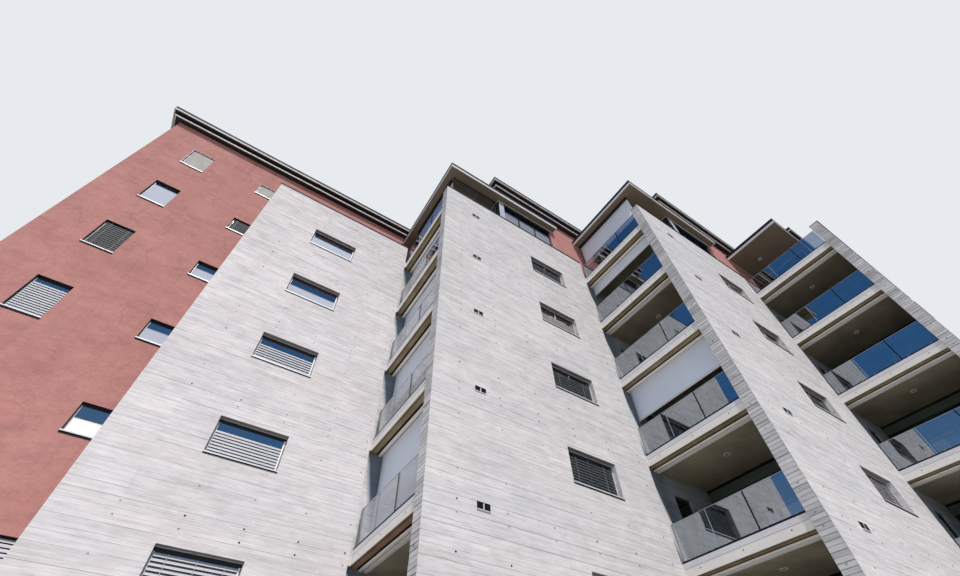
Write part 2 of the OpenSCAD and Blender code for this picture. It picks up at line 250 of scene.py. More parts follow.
# ---------------------------------------------------------------- materials
class Mat:
    def __init__(self, name):
        self.m = bpy.data.materials.new(name)
        self.m.use_nodes = True
        self.t = self.m.node_tree
        self.b = self.t.nodes["Principled BSDF"]
        self.co = self.t.nodes.new("ShaderNodeTexCoord").outputs["Object"]
        self._sep = None

    def node(self, kind, **k):
        n = self.t.nodes.new("ShaderNode" + kind)
        for a, v in k.items():
            setattr(n, a, v)
        return n

    def put(self, sock, v):
        if isinstance(v, bpy.types.NodeSocket):
            self.t.links.new(v, sock)
        else:
            sock.default_value = v

    def math(self, op, a, b=0.0, c=0.0, clamp=False):
        n = self.node("Math", operation=op, use_clamp=clamp)
        for s, v in zip(n.inputs, (a, b, c)):
            self.put(s, v)
        return n.outputs[0]

    def xyz(self, i):
        if self._sep is None:
            self._sep = self.node("SeparateXYZ")
            self.put(self._sep.inputs[0], self.co)
        return self._sep.outputs[i]

    def scaled(self, s, v=None):
        n = self.node("VectorMath", operation="MULTIPLY")
        self.put(n.inputs[0], self.co if v is None else v)
        n.inputs[1].default_value = s
        return n.outputs[0]

    def noise(self, s, detail=3.0, rough=0.5, v=None):
        n = self.node("TexNoise")
        self.put(n.inputs["Vector"], self.scaled(s, v))
        n.inputs["Scale"].default_value = 1.0
        n.inputs["Detail"].default_value = detail
        n.inputs["Roughness"].default_value = rough
        return n.outputs["Fac"]

    def white(self, w):
        n = self.node("TexWhiteNoise", noise_dimensions="1D")
        self.put(n.inputs["W"], w)
        return n.outputs["Value"]

    def voronoi(self, s, v=None):
        n = self.node("TexVoronoi")
        self.put(n.inputs["Vector"], self.scaled(s, v))
        n.inputs["Scale"].default_value = 1.0
        return n.outputs["Distance"]

    def span(self, v, a, b, c=0.0, d=1.0, smooth=False):
        n = self.node("MapRange", interpolation_type="SMOOTHSTEP" if smooth else "LINEAR")
        for s, x in zip(n.inputs, (v, a, b, c, d)):
            self.put(s, x)
        return n.outputs[0]

    def mix(self, f, a, b):
        n = self.node("Mix", data_type="RGBA")
        self.put(n.inputs["Factor"], f)
        socks = [s for s in n.inputs if s.type == "RGBA"]
        for s, v in zip(socks, (a, b)):
            self.put(s, tuple(v) + (1.0,) if isinstance(v, tuple) and len(v) == 3 else v)
        return [s for s in n.outputs if s.type == "RGBA"][0]

    def times(self, c, f):
        n = self.node("VectorMath", operation="SCALE")
        self.put(n.inputs[0], c)
        self.put(n.inputs["Scale"], f)
        return n.outputs[0]

    def rgb(self, c):
        n = self.node("CombineXYZ")
        for s, v in zip(n.inputs, c):
            s.default_value = v
        return n.outputs[0]

    def attr(self, name):
        n = self.node("Attribute", attribute_name=name)
        return n.outputs["Fac"]

    def normal(self, k):
        g = self.node("NewGeometry")
        s = self.node("SeparateXYZ")
        self.put(s.inputs[0], g.outputs["Normal"])
        return s.outputs[k]

    def bump(self, h, strength, dist, prev=None):
        n = self.node("Bump")
        self.put(n.inputs["Height"], h)
        n.inputs["Strength"].default_value = strength
        n.inputs["Distance"].default_value = dist
        if prev is not None:
            self.put(n.inputs["Normal"], prev)
        self.put(self.b.inputs["Normal"], n.outputs[0])
        return n.outputs[0]

    def set(self, **k):
        for a, v in k.items():
            self.put(self.b.inputs[a.replace("_", " ")], v)
        return self


def m_concrete(name, base, cool, line=0.30, tones=0.17, own=True, ragged=0.0, marks=0.30):
    """Board-marked concrete: boards 0.1 m high, broken joints, streaks, pores, stains, runs; painted shade under
    downward faces, painted light and shade patches on side faces, and on inner walls a painted sunlit corner patch.
    """
    g = Mat(name)
    z = g.xyz(2)
    u = g.math("ADD", g.xyz(0), g.xyz(1))
    row = g.math("DIVIDE", z, 0.1)
    idx = g.math("ROUND", row)
    off = g.math("SUBTRACT", row, idx)
    if ragged:
        off = g.math("MULTIPLY_ADD", g.math("SUBTRACT", g.noise((14.0, 14.0, 6.0), 3.0, 0.7), 0.5), ragged, off)
    dist = g.math("ABSOLUTE", off)
    near = g.span(dist, 0.0, 0.07 + 0.25 * ragged, 1.0, 0.0, smooth=True)
    pick = g.span(g.white(idx), 0.30, 1.0, 0.10 if not ragged else 0.6, 1.0)
    patchy = g.span(g.noise((0.9, 0.9, 9.0) if not ragged else (5.0, 5.0, 9.0), 2.0), 0.38, 0.62, 0.0 if not ragged else 0.4, 1.0)
    joint = g.math("MULTIPLY", g.math("MULTIPLY", near, pick), patchy)
    grain = g.noise((2.4, 2.4, 120.0), 4.0, 0.65)
    coarse = g.noise((0.9, 0.9, 16.0), 5.0, 0.7)
    cloud = g.noise((0.55, 0.55, 0.9), 4.0, 0.6)
    blot = g.noise((2.6, 2.6, 5.0), 4.0, 0.65)
    run = g.noise((7.0, 7.0, 0.35), 3.0, 0.6)
    runs = g.math("MULTIPLY", g.span(run, 0.56, 0.78), g.span(g.noise((0.5, 0.5, 0.3), 1.0), 0.45, 0.7))
    short = g.math("MULTIPLY", g.span(g.noise((2.1, 2.1, 44.0), 3.0, 0.6), 0.60, 0.72),
                   g.span(g.noise((0.55, 0.55, 1.5), 2.0), 0.42, 0.62))
    pore = g.span(g.voronoi((24.0, 24.0, 30.0)), 0.05, 0.14, 1.0, 0.0)
    pores = g.math("MULTIPLY", pore, g.span(g.noise((3.0, 3.0, 6.0), 2.0), 0.5, 0.62))
    if own:
        tone = g.attr("tone")
    else:
        cell = g.math("FLOOR", g.math("DIVIDE", u, 1.9))
        tone = g.white(g.math("ADD", g.math("MULTIPLY", g.math("FLOOR", row), 3.17), g.math("MULTIPLY", cell, 11.3)))
    f = g.math("MULTIPLY_ADD", g.math("SUBTRACT", tone, 0.5), tones, 1.0)
    f = g.math("MULTIPLY_ADD", g.math("SUBTRACT", grain, 0.5), 0.60, f)
    up = g.span(z, 4.0, 19.0, 1.1, 1.75)
    stain = g.math("MULTIPLY_ADD", g.math("SUBTRACT", coarse, 0.5), 0.55, g.math("MULTIPLY", g.math("SUBTRACT", blot, 0.5), 0.34))
    f = g.math("MULTIPLY_ADD", stain, up, f)
    f = g.math("MULTIPLY_ADD", g.math("SUBTRACT", cloud, 0.5), 0.26, f)
    f = g.math("MULTIPLY_ADD", runs, -0.09, f)
    f = g.math("MULTIPLY", f, g.math("MULTIPLY_ADD", joint, -line, 1.0))
    f = g.math("MULTIPLY", f, g.math("MULTIPLY_ADD", short, -marks, 1.0))
    f = g.math("MULTIPLY", f, g.math("MULTIPLY_ADD", pores, -0.30, 1.0))
    f = g.math("MULTIPLY", f, g.span(z, 2.0, 19.0, 1.045, 0.925))
    if own:
        # painted shade: downward faces such as reveal heads darkened to 0.36
        f = g.math("MULTIPLY", f, g.span(g.normal(2), -0.9, -0.5, 0.36, 1.0))
        # painted light and shade: blotchy lighter and darker patches on side faces such as reveal jambs, smooth walls
        # only
        side = g.span(g.math("ABSOLUTE", g.normal(0)), 0.5, 0.9)
        f = g.math("MULTIPLY", f, g.math("MULTIPLY_ADD", side, g.span(blot, 0.44, 0.60, 0.30, -0.16) if not ragged else 0.0, 1.0))
    tint = g.span(g.noise((0.35, 0.35, 1.6), 3.0, 0.6), 0.36, 0.64)
    col = g.mix(tint, base, cool)
    if not own:      # painted light and shade: a pale sunlit patch at the lower outer corner of each storey, its edge on the key sun's shadow line, and dark-blue painted shade near the outer edge
        along = g.math("MULTIPLY", g.math("FRACT", g.math("DIVIDE", g.math("SUBTRACT", g.xyz(0), XB), 7.14)), 7.14)
        lift = g.math("MULTIPLY", g.math("FRACT", g.math("DIVIDE", g.math("SUBTRACT", z, 0.12), ST)), ST)
        sunlit_reach = g.math("MULTIPLY", g.math("SUBTRACT", 2.62, lift), 0.19)
        col = g.mix(g.span(along, 0.45, 0.80), (0.175, 0.215, 0.255), col)
        col = g.mix(g.span(g.math("SUBTRACT", along, sunlit_reach), -0.07, 0.04), (0.60, 0.585, 0.58), col)
    g.set(Base_Color=g.times(col, f), Roughness=0.88)
    g.b.inputs["Specular IOR Level"].default_value = 0.2
    b1 = g.bump(g.math("ADD", g.math("MULTIPLY", grain, 0.6), coarse), 0.5, 0.004)
    g.bump(g.math("MULTIPLY", pores, -1.0), 0.5, 0.004, b1)
    return g.m


def m_plaster(name, base, deep):
    """Mineral plaster: fine grain, broad clouds, trowel patches, thin cracks, rain runs."""
    g = Mat(name)
    grit = g.noise((240.0, 240.0, 240.0), 2.0, 0.6)
    cloud = g.noise((0.45, 0.45, 0.6), 5.0, 0.65)
    patch = g.noise((2.3, 2.3, 3.4), 5.0, 0.7)
    band = g.noise((0.6, 0.6, 3.5), 3.0, 0.5)
    speck = g.noise((13.0, 13.0, 16.0), 3.0, 0.7)
    run = g.span(g.noise((5.5, 5.5, 0.22), 3.0, 0.6), 0.55, 0.8)
    warp = g.node("VectorMath", operation="MULTIPLY_ADD")
    wn = g.node("TexNoise")
    g.put(wn.inputs["Vector"], g.scaled((1.4, 1.4, 1.4)))
    wn.inputs["Scale"].default_value = 1.0
    g.put(warp.inputs[0], wn.outputs["Color"])
    warp.inputs[1].default_value = (0.9, 0.9, 0.9)
    g.put(warp.inputs[2], g.co)
    vn = g.node("TexVoronoi", feature="DISTANCE_TO_EDGE")
    g.put(vn.inputs["Vector"], warp.outputs[0])
    vn.inputs["Scale"].default_value = 0.55
    crack = g.math("MULTIPLY", g.span(vn.outputs["Distance"], 0.0, 0.016, 1.0, 0.0),
                   g.span(g.noise((0.7, 0.7, 0.7), 2.0), 0.46, 0.62))
    f = g.math("MULTIPLY_ADD", g.math("SUBTRACT", grit, 0.5), 0.20, 1.0)
    f = g.math("MULTIPLY_ADD", g.math("SUBTRACT", band, 0.5), 0.20, f)
    f = g.math("MULTIPLY_ADD", g.math("SUBTRACT", patch, 0.5), 0.62, f)
    f = g.math("MULTIPLY_ADD", g.math("SUBTRACT", speck, 0.5), 0.40, f)
    f = g.math("MULTIPLY_ADD", run, -0.10, f)
    f = g.math("MULTIPLY_ADD", crack, -0.22, f)
    f = g.math("MULTIPLY", f, g.span(g.xyz(2), 4.0, 21.0, 1.07, 0.95))
    g.set(Base_Color=g.times(g.mix(g.span(cloud, 0.3, 0.7), base, deep), f), Roughness=0.92)
    g.b.inputs["Specular IOR Level"].default_value = 0.15
    b1 = g.bump(grit, 0.35, 0.002)
    g.bump(patch, 0.25, 0.006, b1)
    return g.m


def m_slab(name):
    """Slabs: pale cast edge, olive brown soffit, grey screed on top; painted shade on the ends facing −Y and on the
    higher soffits.
    """
    g = Mat(name)
    nz = g.normal(2)
    cloud = g.noise((0.8, 0.8, 2.0), 4.0, 0.6)
    fine = g.noise((9.0, 9.0, 14.0), 4.0, 0.6)
    grain = g.noise((60.0, 60.0, 60.0), 3.0, 0.6)
    high = g.mix(g.span(cloud, 0.3, 0.7), (0.73, 0.71, 0.75), (0.64, 0.625, 0.67))
    low = g.mix(g.span(cloud, 0.3, 0.7), (0.84, 0.81, 0.76), (0.75, 0.73, 0.69))
    lift = g.math("MULTIPLY", g.math("FRACT", g.math("DIVIDE", g.math("SUBTRACT", g.xyz(2), 0.12), ST)), ST)
    edge = g.mix(g.span(lift, 2.822, 2.830), low, high)
    # painted shade: slab faces turned towards −Y darkened to 0.70
    edge = g.times(edge, g.span(g.normal(1), -0.6, -0.4, 0.70, 1.0))
    under = g.mix(g.span(cloud, 0.32, 0.66), (0.540, 0.470, 0.330), (0.330, 0.288, 0.205))
    top = g.mix(g.span(cloud, 0.3, 0.7), (0.36, 0.35, 0.34), (0.29, 0.285, 0.28))
    c = g.mix(g.span(nz, -0.6, -0.4, 1.0, 0.0), edge, under)
    c = g.mix(g.span(nz, 0.4, 0.6), c, top)
    f = g.math("MULTIPLY_ADD", g.math("SUBTRACT", fine, 0.5), 0.22, 1.0)
    f = g.math("MULTIPLY_ADD", g.math("SUBTRACT", grain, 0.5), 0.10, f)
    # painted shade: soffits 12 % lighter low down, up to 46 % darker high up
    f = g.math("MULTIPLY", f, g.math("MULTIPLY_ADD", g.span(nz, -0.6, -0.4, 1.0, 0.0), g.span(g.xyz(2), 4.5, 15.5, 0.12, -0.46), 1.0))
    g.set(Base_Color=g.times(c, f), Roughness=0.8)
    g.bump(fine, 0.2, 0.004)
    return g.m


def m_post(name):
    """Slim post: white coat dulled to blue-grey as painted shade from the roof, its −X side faces painted near-black as
    painted shade.
    """
    g = Mat(name)
    cloud = g.noise((3.0, 3.0, 1.0), 4.0, 0.6)
    fine = g.noise((60.0, 60.0, 30.0), 2.0, 0.5)
    # painted shade: blue-grey front for the roof's shadow, near-black for the shaded −X faces
    pale = g.mix(g.span(cloud, 0.35, 0.65), (0.40, 0.43, 0.50), (0.34, 0.37, 0.44))
    side = g.mix(g.span(cloud, 0.35, 0.65), (0.030, 0.032, 0.040), (0.020, 0.022, 0.028))
    c = g.mix(g.span(g.normal(0), -0.6, -0.4, 1.0, 0.0), pale, side)
    g.set(Base_Color=g.times(c, g.math("MULTIPLY_ADD", g.math("SUBTRACT", fine, 0.5), 0.2, 1.0)), Roughness=0.5)
    g.bump(fine, 0.06, 0.001)
    return g.m


def m_recess(name):
    """Boards under the slab edge: brown stain, warmer where the tone is high."""
    g = Mat(name)
    cloud = g.noise((1.6, 1.6, 2.0), 4.0, 0.65)
    grain = g.noise((3.0, 3.0, 3.0), 5.0, 0.7)
    fine = g.noise((45.0, 45.0, 45.0), 3.0, 0.6)
    olive = g.mix(g.span(cloud, 0.35, 0.65), (0.40, 0.33, 0.20), (0.25, 0.21, 0.125))
    clay = g.mix(g.span(cloud, 0.35, 0.65), (0.42, 0.24, 0.17), (0.27, 0.16, 0.115))
    f = g.math("MULTIPLY_ADD", g.math("SUBTRACT", grain, 0.5), 0.40, 1.0)
    f = g.math("MULTIPLY_ADD", g.math("SUBTRACT", fine, 0.5), 0.25, f)
    g.set(Base_Color=g.times(g.mix(g.attr("tone"), olive, clay), f), Roughness=0.85)
    g.b.inputs["Specular IOR Level"].default_value = 0.15
    g.bump(fine, 0.3, 0.002)
    return g.m


def m_metal(name, base, other, rough=0.42, metallic=0.0, scale=3.0, ir=0.06, spec=0.5):
    """Coated sheet or bar: slight cloud in colour and sheen, faint dust."""
    g = Mat(name)
    a = g.noise((scale, scale, scale), 3.0, 0.6)
    fine = g.noise((90.0, 90.0, 90.0), 2.0, 0.5)
    dust = g.span(g.noise((1.3, 1.3, 6.0), 4.0, 0.65), 0.45, 0.75)
    f = g.math("MULTIPLY_ADD", g.math("SUBTRACT", fine, 0.5), 0.08, 1.0)
    g.set(Base_Color=g.times(g.mix(g.math("MULTIPLY", dust, 0.8), base, other), f),
          Roughness=g.math("MULTIPLY_ADD", g.math("SUBTRACT", a, 0.5), ir * 4, rough), Metallic=metallic)
    g.b.inputs["Specular IOR Level"].default_value = spec
    g.bump(fine, 0.06, 0.001)
    return g.m


def m_glass(name, base, other, ior=1.9, rough=0.008, alpha=1.0, metallic=0.0):
    """Glazing: a trace of dirt and dried rain marks in colour and sheen."""
    g = Mat(name)
    dirt = g.span(g.noise((1.6, 1.6, 2.4), 4.0, 0.65), 0.42, 0.8)
    rain = g.span(g.noise((16.0, 16.0, 1.1), 3.0, 0.6), 0.55, 0.8)
    d = g.math("MULTIPLY_ADD", rain, 0.35, g.math("MULTIPLY", dirt, 0.65))
    g.set(Base_Color=g.mix(d, base, other), Roughness=g.math("MULTIPLY_ADD", d, 0.03, rough), Metallic=metallic)
    g.b.inputs["IOR"].default_value = ior
    g.b.inputs["Alpha"].default_value = alpha
    return g.m


def m_fabric(name, base, other):
    """Screen cloth: fine weave, seams every 1.03 m, a soft cloud in colour."""
    g = Mat(name)
    z, u = g.xyz(2), g.math("ADD", g.xyz(0), g.xyz(1))
    warp = g.math("SINE", g.math("MULTIPLY", u, 3900.0))
    weft = g.math("SINE", g.math("MULTIPLY", z, 3900.0))
    weave = g.math("MULTIPLY", warp, weft)
    seam = g.math("ABSOLUTE", g.math("SUBTRACT", g.math("FRACT", g.math("DIVIDE", u, 1.03)), 0.5))
    seamed = g.span(seam, 0.492, 0.497)
    cloud = g.noise((0.9, 0.9, 0.5), 3.0, 0.5)
    f = g.math("MULTIPLY_ADD", weave, 0.03, 1.0)
    f = g.math("MULTIPLY_ADD", seamed, -0.06, f)
    g.set(Base_Color=g.times(g.mix(g.span(cloud, 0.3, 0.7), base, other), f), Roughness=0.75)
    g.b.inputs["Sheen Weight"].default_value = 0.15
    g.bump(weave, 0.15, 0.0006)
    return g.m


def m_roof(name):
    g = Mat(name)
    cloud = g.noise((0.5, 0.5, 0.5), 5.0, 0.6)
    grit = g.noise((140.0, 140.0, 140.0), 2.0, 0.6)
    pond = g.span(g.noise((0.28, 0.28, 0.28), 3.0, 0.7), 0.48, 0.62)
    c = g.mix(g.span(cloud, 0.3, 0.7), (0.24, 0.235, 0.23), (0.18, 0.178, 0.176))
    c = g.mix(g.math("MULTIPLY", pond, 0.5), c, (0.30, 0.285, 0.26))
    g.set(Base_Color=g.times(c, g.math("MULTIPLY_ADD", g.math("SUBTRACT", grit, 0.5), 0.25, 1.0)), Roughness=0.82)
    g.bump(grit, 0.3, 0.002)
    return g.m


CONC = m_concrete("board_marked_concrete", (0.595, 0.568, 0.568), (0.560, 0.548, 0.562))
CONC_A = m_concrete("board_marked_concrete_a", (0.660, 0.620, 0.622), (0.632, 0.606, 0.622))
PIER = m_concrete("board_marked_pier", (0.62, 0.61, 0.61), (0.52, 0.52, 0.53), line=0.95, tones=0.42, ragged=0.22, marks=0.40)
# inner loggia walls: colour darkened and tinted blue as painted shade
CONC_IN = m_concrete("board_marked_inner_painted_light_and_shade", (0.34, 0.375, 0.42), (0.28, 0.315, 0.36), line=0.40, own=False)
# near-black tie hole linings and fascia discs: painted shade in the holes
HOLE = m_metal("tie_hole_painted_shade", (0.020, 0.019, 0.018), (0.045, 0.042, 0.04), rough=0.85, spec=0.1)
RED = m_plaster("red_mineral_plaster", (0.462, 0.226, 0.206), (0.400, 0.184, 0.168))
SLAB = m_slab("cast_slab_with_painted_shade")
DARK = m_metal("dark_coated_sheet", (0.012, 0.014, 0.022), (0.024, 0.026, 0.034), rough=0.6, spec=0.15)
EAVE = m_metal("eave_underside", (0.026, 0.022, 0.026), (0.038, 0.032, 0.036), rough=0.8, spec=0.15)
SOFF = m_metal("low_roof_soffit", (0.200, 0.165, 0.125), (0.155, 0.128, 0.098), rough=0.8, scale=1.2, spec=0.15)
RECESS = m_recess("edge_recess_board")
HEAD = m_metal("deep_blue_black_sheet_and_painted_shade", (0.008, 0.010, 0.022), (0.014, 0.017, 0.032), rough=0.5, spec=0.2)
POST = m_post("slim_post_painted_shade")
LINE = m_metal("bright_edge_line", (0.66, 0.64, 0.62), (0.54, 0.53, 0.53), rough=0.5, spec=0.3)
WHITE = m_metal("white_coated_metal", (0.70, 0.68, 0.66), (0.60, 0.585, 0.565), rough=0.5, spec=0.3)
STRIP = m_metal("pale_screen_box", (0.94, 0.91, 0.87), (0.88, 0.85, 0.81), rough=0.55, spec=0.3)
LINTEL = m_metal("green_black_lintel", (0.075, 0.098, 0.082), (0.095, 0.116, 0.100), rough=0.5, spec=0.3)
FRAME = m_metal("dark_frame_and_painted_reveal_shade", (0.016, 0.018, 0.022), (0.03, 0.032, 0.036), rough=0.5, spec=0.25)
ALU = m_metal("light_metal_trim", (0.60, 0.61, 0.63), (0.50, 0.51, 0.52), rough=0.45, metallic=0.2)
SLAT = m_metal("pale_slat", (0.45, 0.46, 0.50), (0.40, 0.41, 0.45), rough=0.5, spec=0.3)
SLAT_D = m_metal("dark_slat", (0.015, 0.024, 0.032), (0.022, 0.032, 0.040), rough=0.5, spec=0.2)
PANEL = m_metal("grey_slat_and_painted_edge_highlight", (0.285, 0.268, 0.25), (0.25, 0.235, 0.22), rough=0.6, spec=0.3)
BLIND = m_metal("pale_cloth_blind", (0.45, 0.48, 0.56), (0.41, 0.44, 0.52), rough=0.8, spec=0.2)
RIBBON = m_metal("ribbon_window_blind", (0.20, 0.225, 0.27), (0.16, 0.185, 0.23), rough=0.8, spec=0.2)
SHINE = m_metal("bright_white_coat_and_painted_highlight", (0.92, 0.92, 0.90), (0.86, 0.86, 0.84), rough=0.8, spec=0.2)
GLASS = m_glass("attic_glass", (0.010, 0.018, 0.028), (0.020, 0.028, 0.036), ior=2.8)
PANE = m_glass("window_glass", (0.58, 0.47, 0.44), (0.50, 0.41, 0.38), ior=1.6, metallic=1.0)
GLASS_D = m_glass("door_glass", (0.008, 0.012, 0.014), (0.014, 0.018, 0.020), ior=2.4)
GLASS_R = m_glass("railing_glass", (0.54, 0.58, 0.62), (0.46, 0.50, 0.54), ior=1.6, alpha=0.5, metallic=1.0)
CLEAR = m_glass("clear_pane", (0.55, 0.62, 0.70), (0.48, 0.54, 0.60), ior=1.6, alpha=0.22, metallic=1.0)
EDGE = m_glass("railing_edge", (0.34, 0.38, 0.40), (0.28, 0.32, 0.34), ior=1.6, rough=0.3)
FABRIC = m_fabric("drop_screen_cloth", (0.75, 0.81, 0.91), (0.69, 0.75, 0.86))
ROOF = m_roof("roof_membrane")
LAMP = m_metal("lamp_glass", (0.30, 0.28, 0.24), (0.24, 0.22, 0.19), rough=0.2)
RUBBER = m_metal("black_gasket_and_painted_sill_shadow", (0.008, 0.008, 0.009), (0.014, 0.014, 0.015), rough=0.7, spec=0.1)
DOOR = m_metal("door_leaf", (0.05, 0.052, 0.056), (0.075, 0.077, 0.08), rough=0.4)

for name, mat in {
    **{n: SLAB for n in ("ground_slab", "floor_1", "floor_2", "floor_3", "floor_4", "floor_5", "attic_floor")},
    **{n: RED for n in ("front_wall_red", "left_wall", "right_wall", "back_wall_1", "back_wall_2", "back_wall_3",
                        "back_wall_4", "return_walls", "attic_wall_a", "attic_wall_b", "attic_wall_c", "attic_wall_d")},
    "loggia_walls": CONC_IN, "loggia_lintels": LINTEL, "attic_posts": POST, "railing_shoes": DARK,
}.items():
    me = NODES[name].data
    if not me.materials:
        me.materials.append(mat)
    for i in range(len(me.materials)):
        me.materials[i] = mat


# ---------------------------------------------------------------- board-marked walls
def boards(b, w, u0, u1, z0, z1, holes=(), ties=(), edges=(), seed=0, rough=0.004, gap=0.0006, spread=0.13, m=0, mh=2,
           wide=0.07, strong=(), big=0.0035):
    """Boards 0.1 m high in front of the core, each with its own set-back and tone."""
    rng = np.random.default_rng(seed)
    lifts = {}
    for r in range(int(math.floor(z0 / 0.1 + 1e-6)), int(math.ceil(z1 / 0.1 - 1e-6))):
        zb = min(z1, (r + 1) * 0.1) - gap
        if zb - max(z0, r * 0.1) < 0.018:
            continue
        lift = int((r * 0.1 + 0.25) // ST)
        if lift not in lifts:
            lifts[lift] = (rng.normal(0, 0.07, 12), rng.choice((0.0, 1.2, 0.6)))
        panel, shift = lifts[lift]
        cuts = []
        for e in edges:
            x = e + shift
            if rng.random() < 0.30:
                x += rng.uniform(-0.5, 0.5)
            elif rng.random() < 0.25:
                continue
            if u0 + 0.12 < x < u1 - 0.12:
                cuts.append(x)
        cuts = [u0] + sorted(cuts) + [u1]
        for n, (a, c) in enumerate(zip(cuts, cuts[1:])):
            tone = float(np.clip(0.5 + panel[n % 12] + rng.normal(0, spread), 0, 1))
            back = float(rng.uniform(0.0, rough))
            pick = rng.random()
            za = max(z0, r * 0.1) + (0.0055 if r in strong else big if pick < wide else gap)
            a2, c2 = a + 0.001, c - 0.001
            rects = [(a2, c2, za, zb)]
            for hu0, hu1, hz0, hz1 in holes:
                new = []
                for p0, p1, q0, q1 in rects:
                    if hu1 <= p0 or hu0 >= p1 or hz1 <= q0 or hz0 >= q1:
                        new.append((p0, p1, q0, q1))
                        continue
                    if p0 < hu0:
                        new.append((p0, hu0 - 0.0015, q0, q1))
                    if p1 > hu1:
                        new.append((hu1 + 0.0015, p1, q0, q1))
                    m0, m1 = max(p0, hu0 - 0.0015), min(p1, hu1 + 0.0015)
                    if q0 < hz0 - 0.008:
                        new.append((m0, m1, q0, hz0 - 0.0015))
                    if q1 > hz1 + 0.008:
                        new.append((m0, m1, hz1 + 0.0015, q1))
                rects = new
            for p0, p1, q0, q1 in rects:
                if p1 - p0 < 0.01:
                    continue
                inside = sorted((tu, tz) for tu, tz in ties if p0 + 0.03 < tu < p1 - 0.03 and q0 + 0.027 < tz < q1 - 0.027)
                if not inside:
                    b.box(w, p0, p1, back, 0.016, q0, q1, m, tone)
                    continue
                b.box(w, p0, p1, back, 0.016, q0, q1, m, tone, skip=(2,))
                x = p0
                for tu, tz in inside:
                    h = 0.026
                    for s in ((x, tu - h, q0, q1), (tu - h, tu + h, q0, tz - h), (tu - h, tu + h, tz + h, q1)):
                        b.face(w, [(s[0], back, s[2]), (s[1], back, s[2]), (s[1], back, s[3]), (s[0], back, s[3])], m, tone)
                    b.disc_hole(w, tu, tz, h, 0.0205, back, 0.011, m, mh, tone)
                    x = tu + h
                b.face(w, [(x, back, q0), (p1, back, q0), (p1, back, q1), (x, back, q1)], m, tone)


def snap(z):
    r = math.floor(z / 0.1)
    return r * 0.1 + min(max(z - r * 0.1, 0.034), 0.066)


def tie_grid(cols, top, skip=()):
    out = []
    for i in range(0, 8):
        for rel in (-0.33, -0.09, 0.55, 1.91):
            z = F(i) + rel
            for c in cols:
                if 0.1 < z < top - 0.05 and (i, rel, c) not in skip:
                    out.append((c, snap(z)))
    return out


def vent(b, w, u, z):
    """Double wall vent: pale frame, dark openings with a thin bar, small sill."""
    hw, hh = 0.155, 0.078
    b.box(w, u - hw + 0.01, u + hw - 0.01, -0.002, 0.004, z - hh + 0.01, z + hh - 0.01, 4)
    for z0, z1, k in ((z - hh, z - hh + 0.014, 3), (z + hh - 0.014, z + hh, 4)):
        b.box(w, u - hw, u + hw, -0.010, 0.0035, z0, z1, k)
    for u0, u1, k in ((u - hw, u - hw + 0.010, 4), (u - 0.014, u + 0.014, 3), (u + hw - 0.010, u + hw, 4)):
        b.box(w, u0, u1, -0.009, 0.0035, z - hh + 0.014, z + hh - 0.014, k)
    for s in (-1, 1):
        c = u + s * 0.076
        b.box(w, c - 0.003, c + 0.003, -0.006, 0.0, z - hh + 0.014, z + hh - 0.014, 4)
        b.box(w, c - 0.058, c + 0.058, -0.006, 0.0, z - 0.0, z + 0.005, 4)
    b.prism(w, [(-0.016, z - hh - 0.006), (0.003, z - hh + 0.0), (0.003, z - hh - 0.010), (-0.016, z - hh - 0.012)], u - hw - 0.005, u + hw + 0.005, 3)


STRONG = {"front_wall_b": (54, 57, 60, 64, 83, 112), "front_wall_a": (47, 76, 88, 121, 150), "front_wall_c": (66, 95, 124), "front_wall_d": (61, 90, 119)}


def concrete_wall(name, node, x0, x1, y, wu, sill, cols, vents, seed, mat, left, right):
    b = Build()
    w = Wall("-y", y, x0)
    L, top, c = x1 - x0, PT - 0.03, 0.012
    holes = [(wu, wu + 1.65, F(i) + sill, F(i) + sill + 0.98) for i in range(6)]
    us = [c if left else 0.0, wu, wu + 1.65, L - (c if right else 0.0)]
    zs = [0.0] + [v for h in holes for v in h[2:]] + [top]
    b.grid(w, us, [c, T], zs, lambda a, k, z: not (a == 1 and z % 2 == 1), 0, 0.5)
    edges = [1.03 + 2.4 * k for k in range(-1, 4)]
    ties = tie_grid(cols, top)
    ties = [t for t in ties if not any(h[0] - 0.05 < t[0] < h[1] + 0.05 and h[2] - 0.05 < t[1] < h[3] + 0.05 for h in holes)]
    boards(b, w, 0.001, L - 0.001, 0.0, top, holes, ties, edges, seed, strong=STRONG.get(node, ()))
    if left:
        wl = Wall("-x", x0, y)
        n = 1.215 if node == "front_wall_a" else T
        if node == "front_wall_a":
            b.grid(Wall("-y", y, x0), [c, T], [T, 1.215], [0.0, top], lambda *a: True, 0, 0.5)
        boards(b, wl, 0.0175, n - 0.001, 0.0, top, (), tie_grid([0.19] if n < 1 else [0.3, 0.85], top), [0.6] if n > 1 else [], seed + 50,
               rough=0.008, gap=0.0018, spread=0.22, m=1, wide=0.6, big=0.0065)
    if right:
        wr = Wall("+x", x1, y)
        boards(b, wr, 0.0175, T - 0.001, 0.0, top, (), tie_grid([0.19], top), [], seed + 70, rough=0.008, gap=0.0018, spread=0.22, m=1, wide=0.6, big=0.0065)
    for u, z in vents:
        vent(b, w, u, z)
    return make(name, b, [mat, PIER, HOLE, ALU, RUBBER], [node])


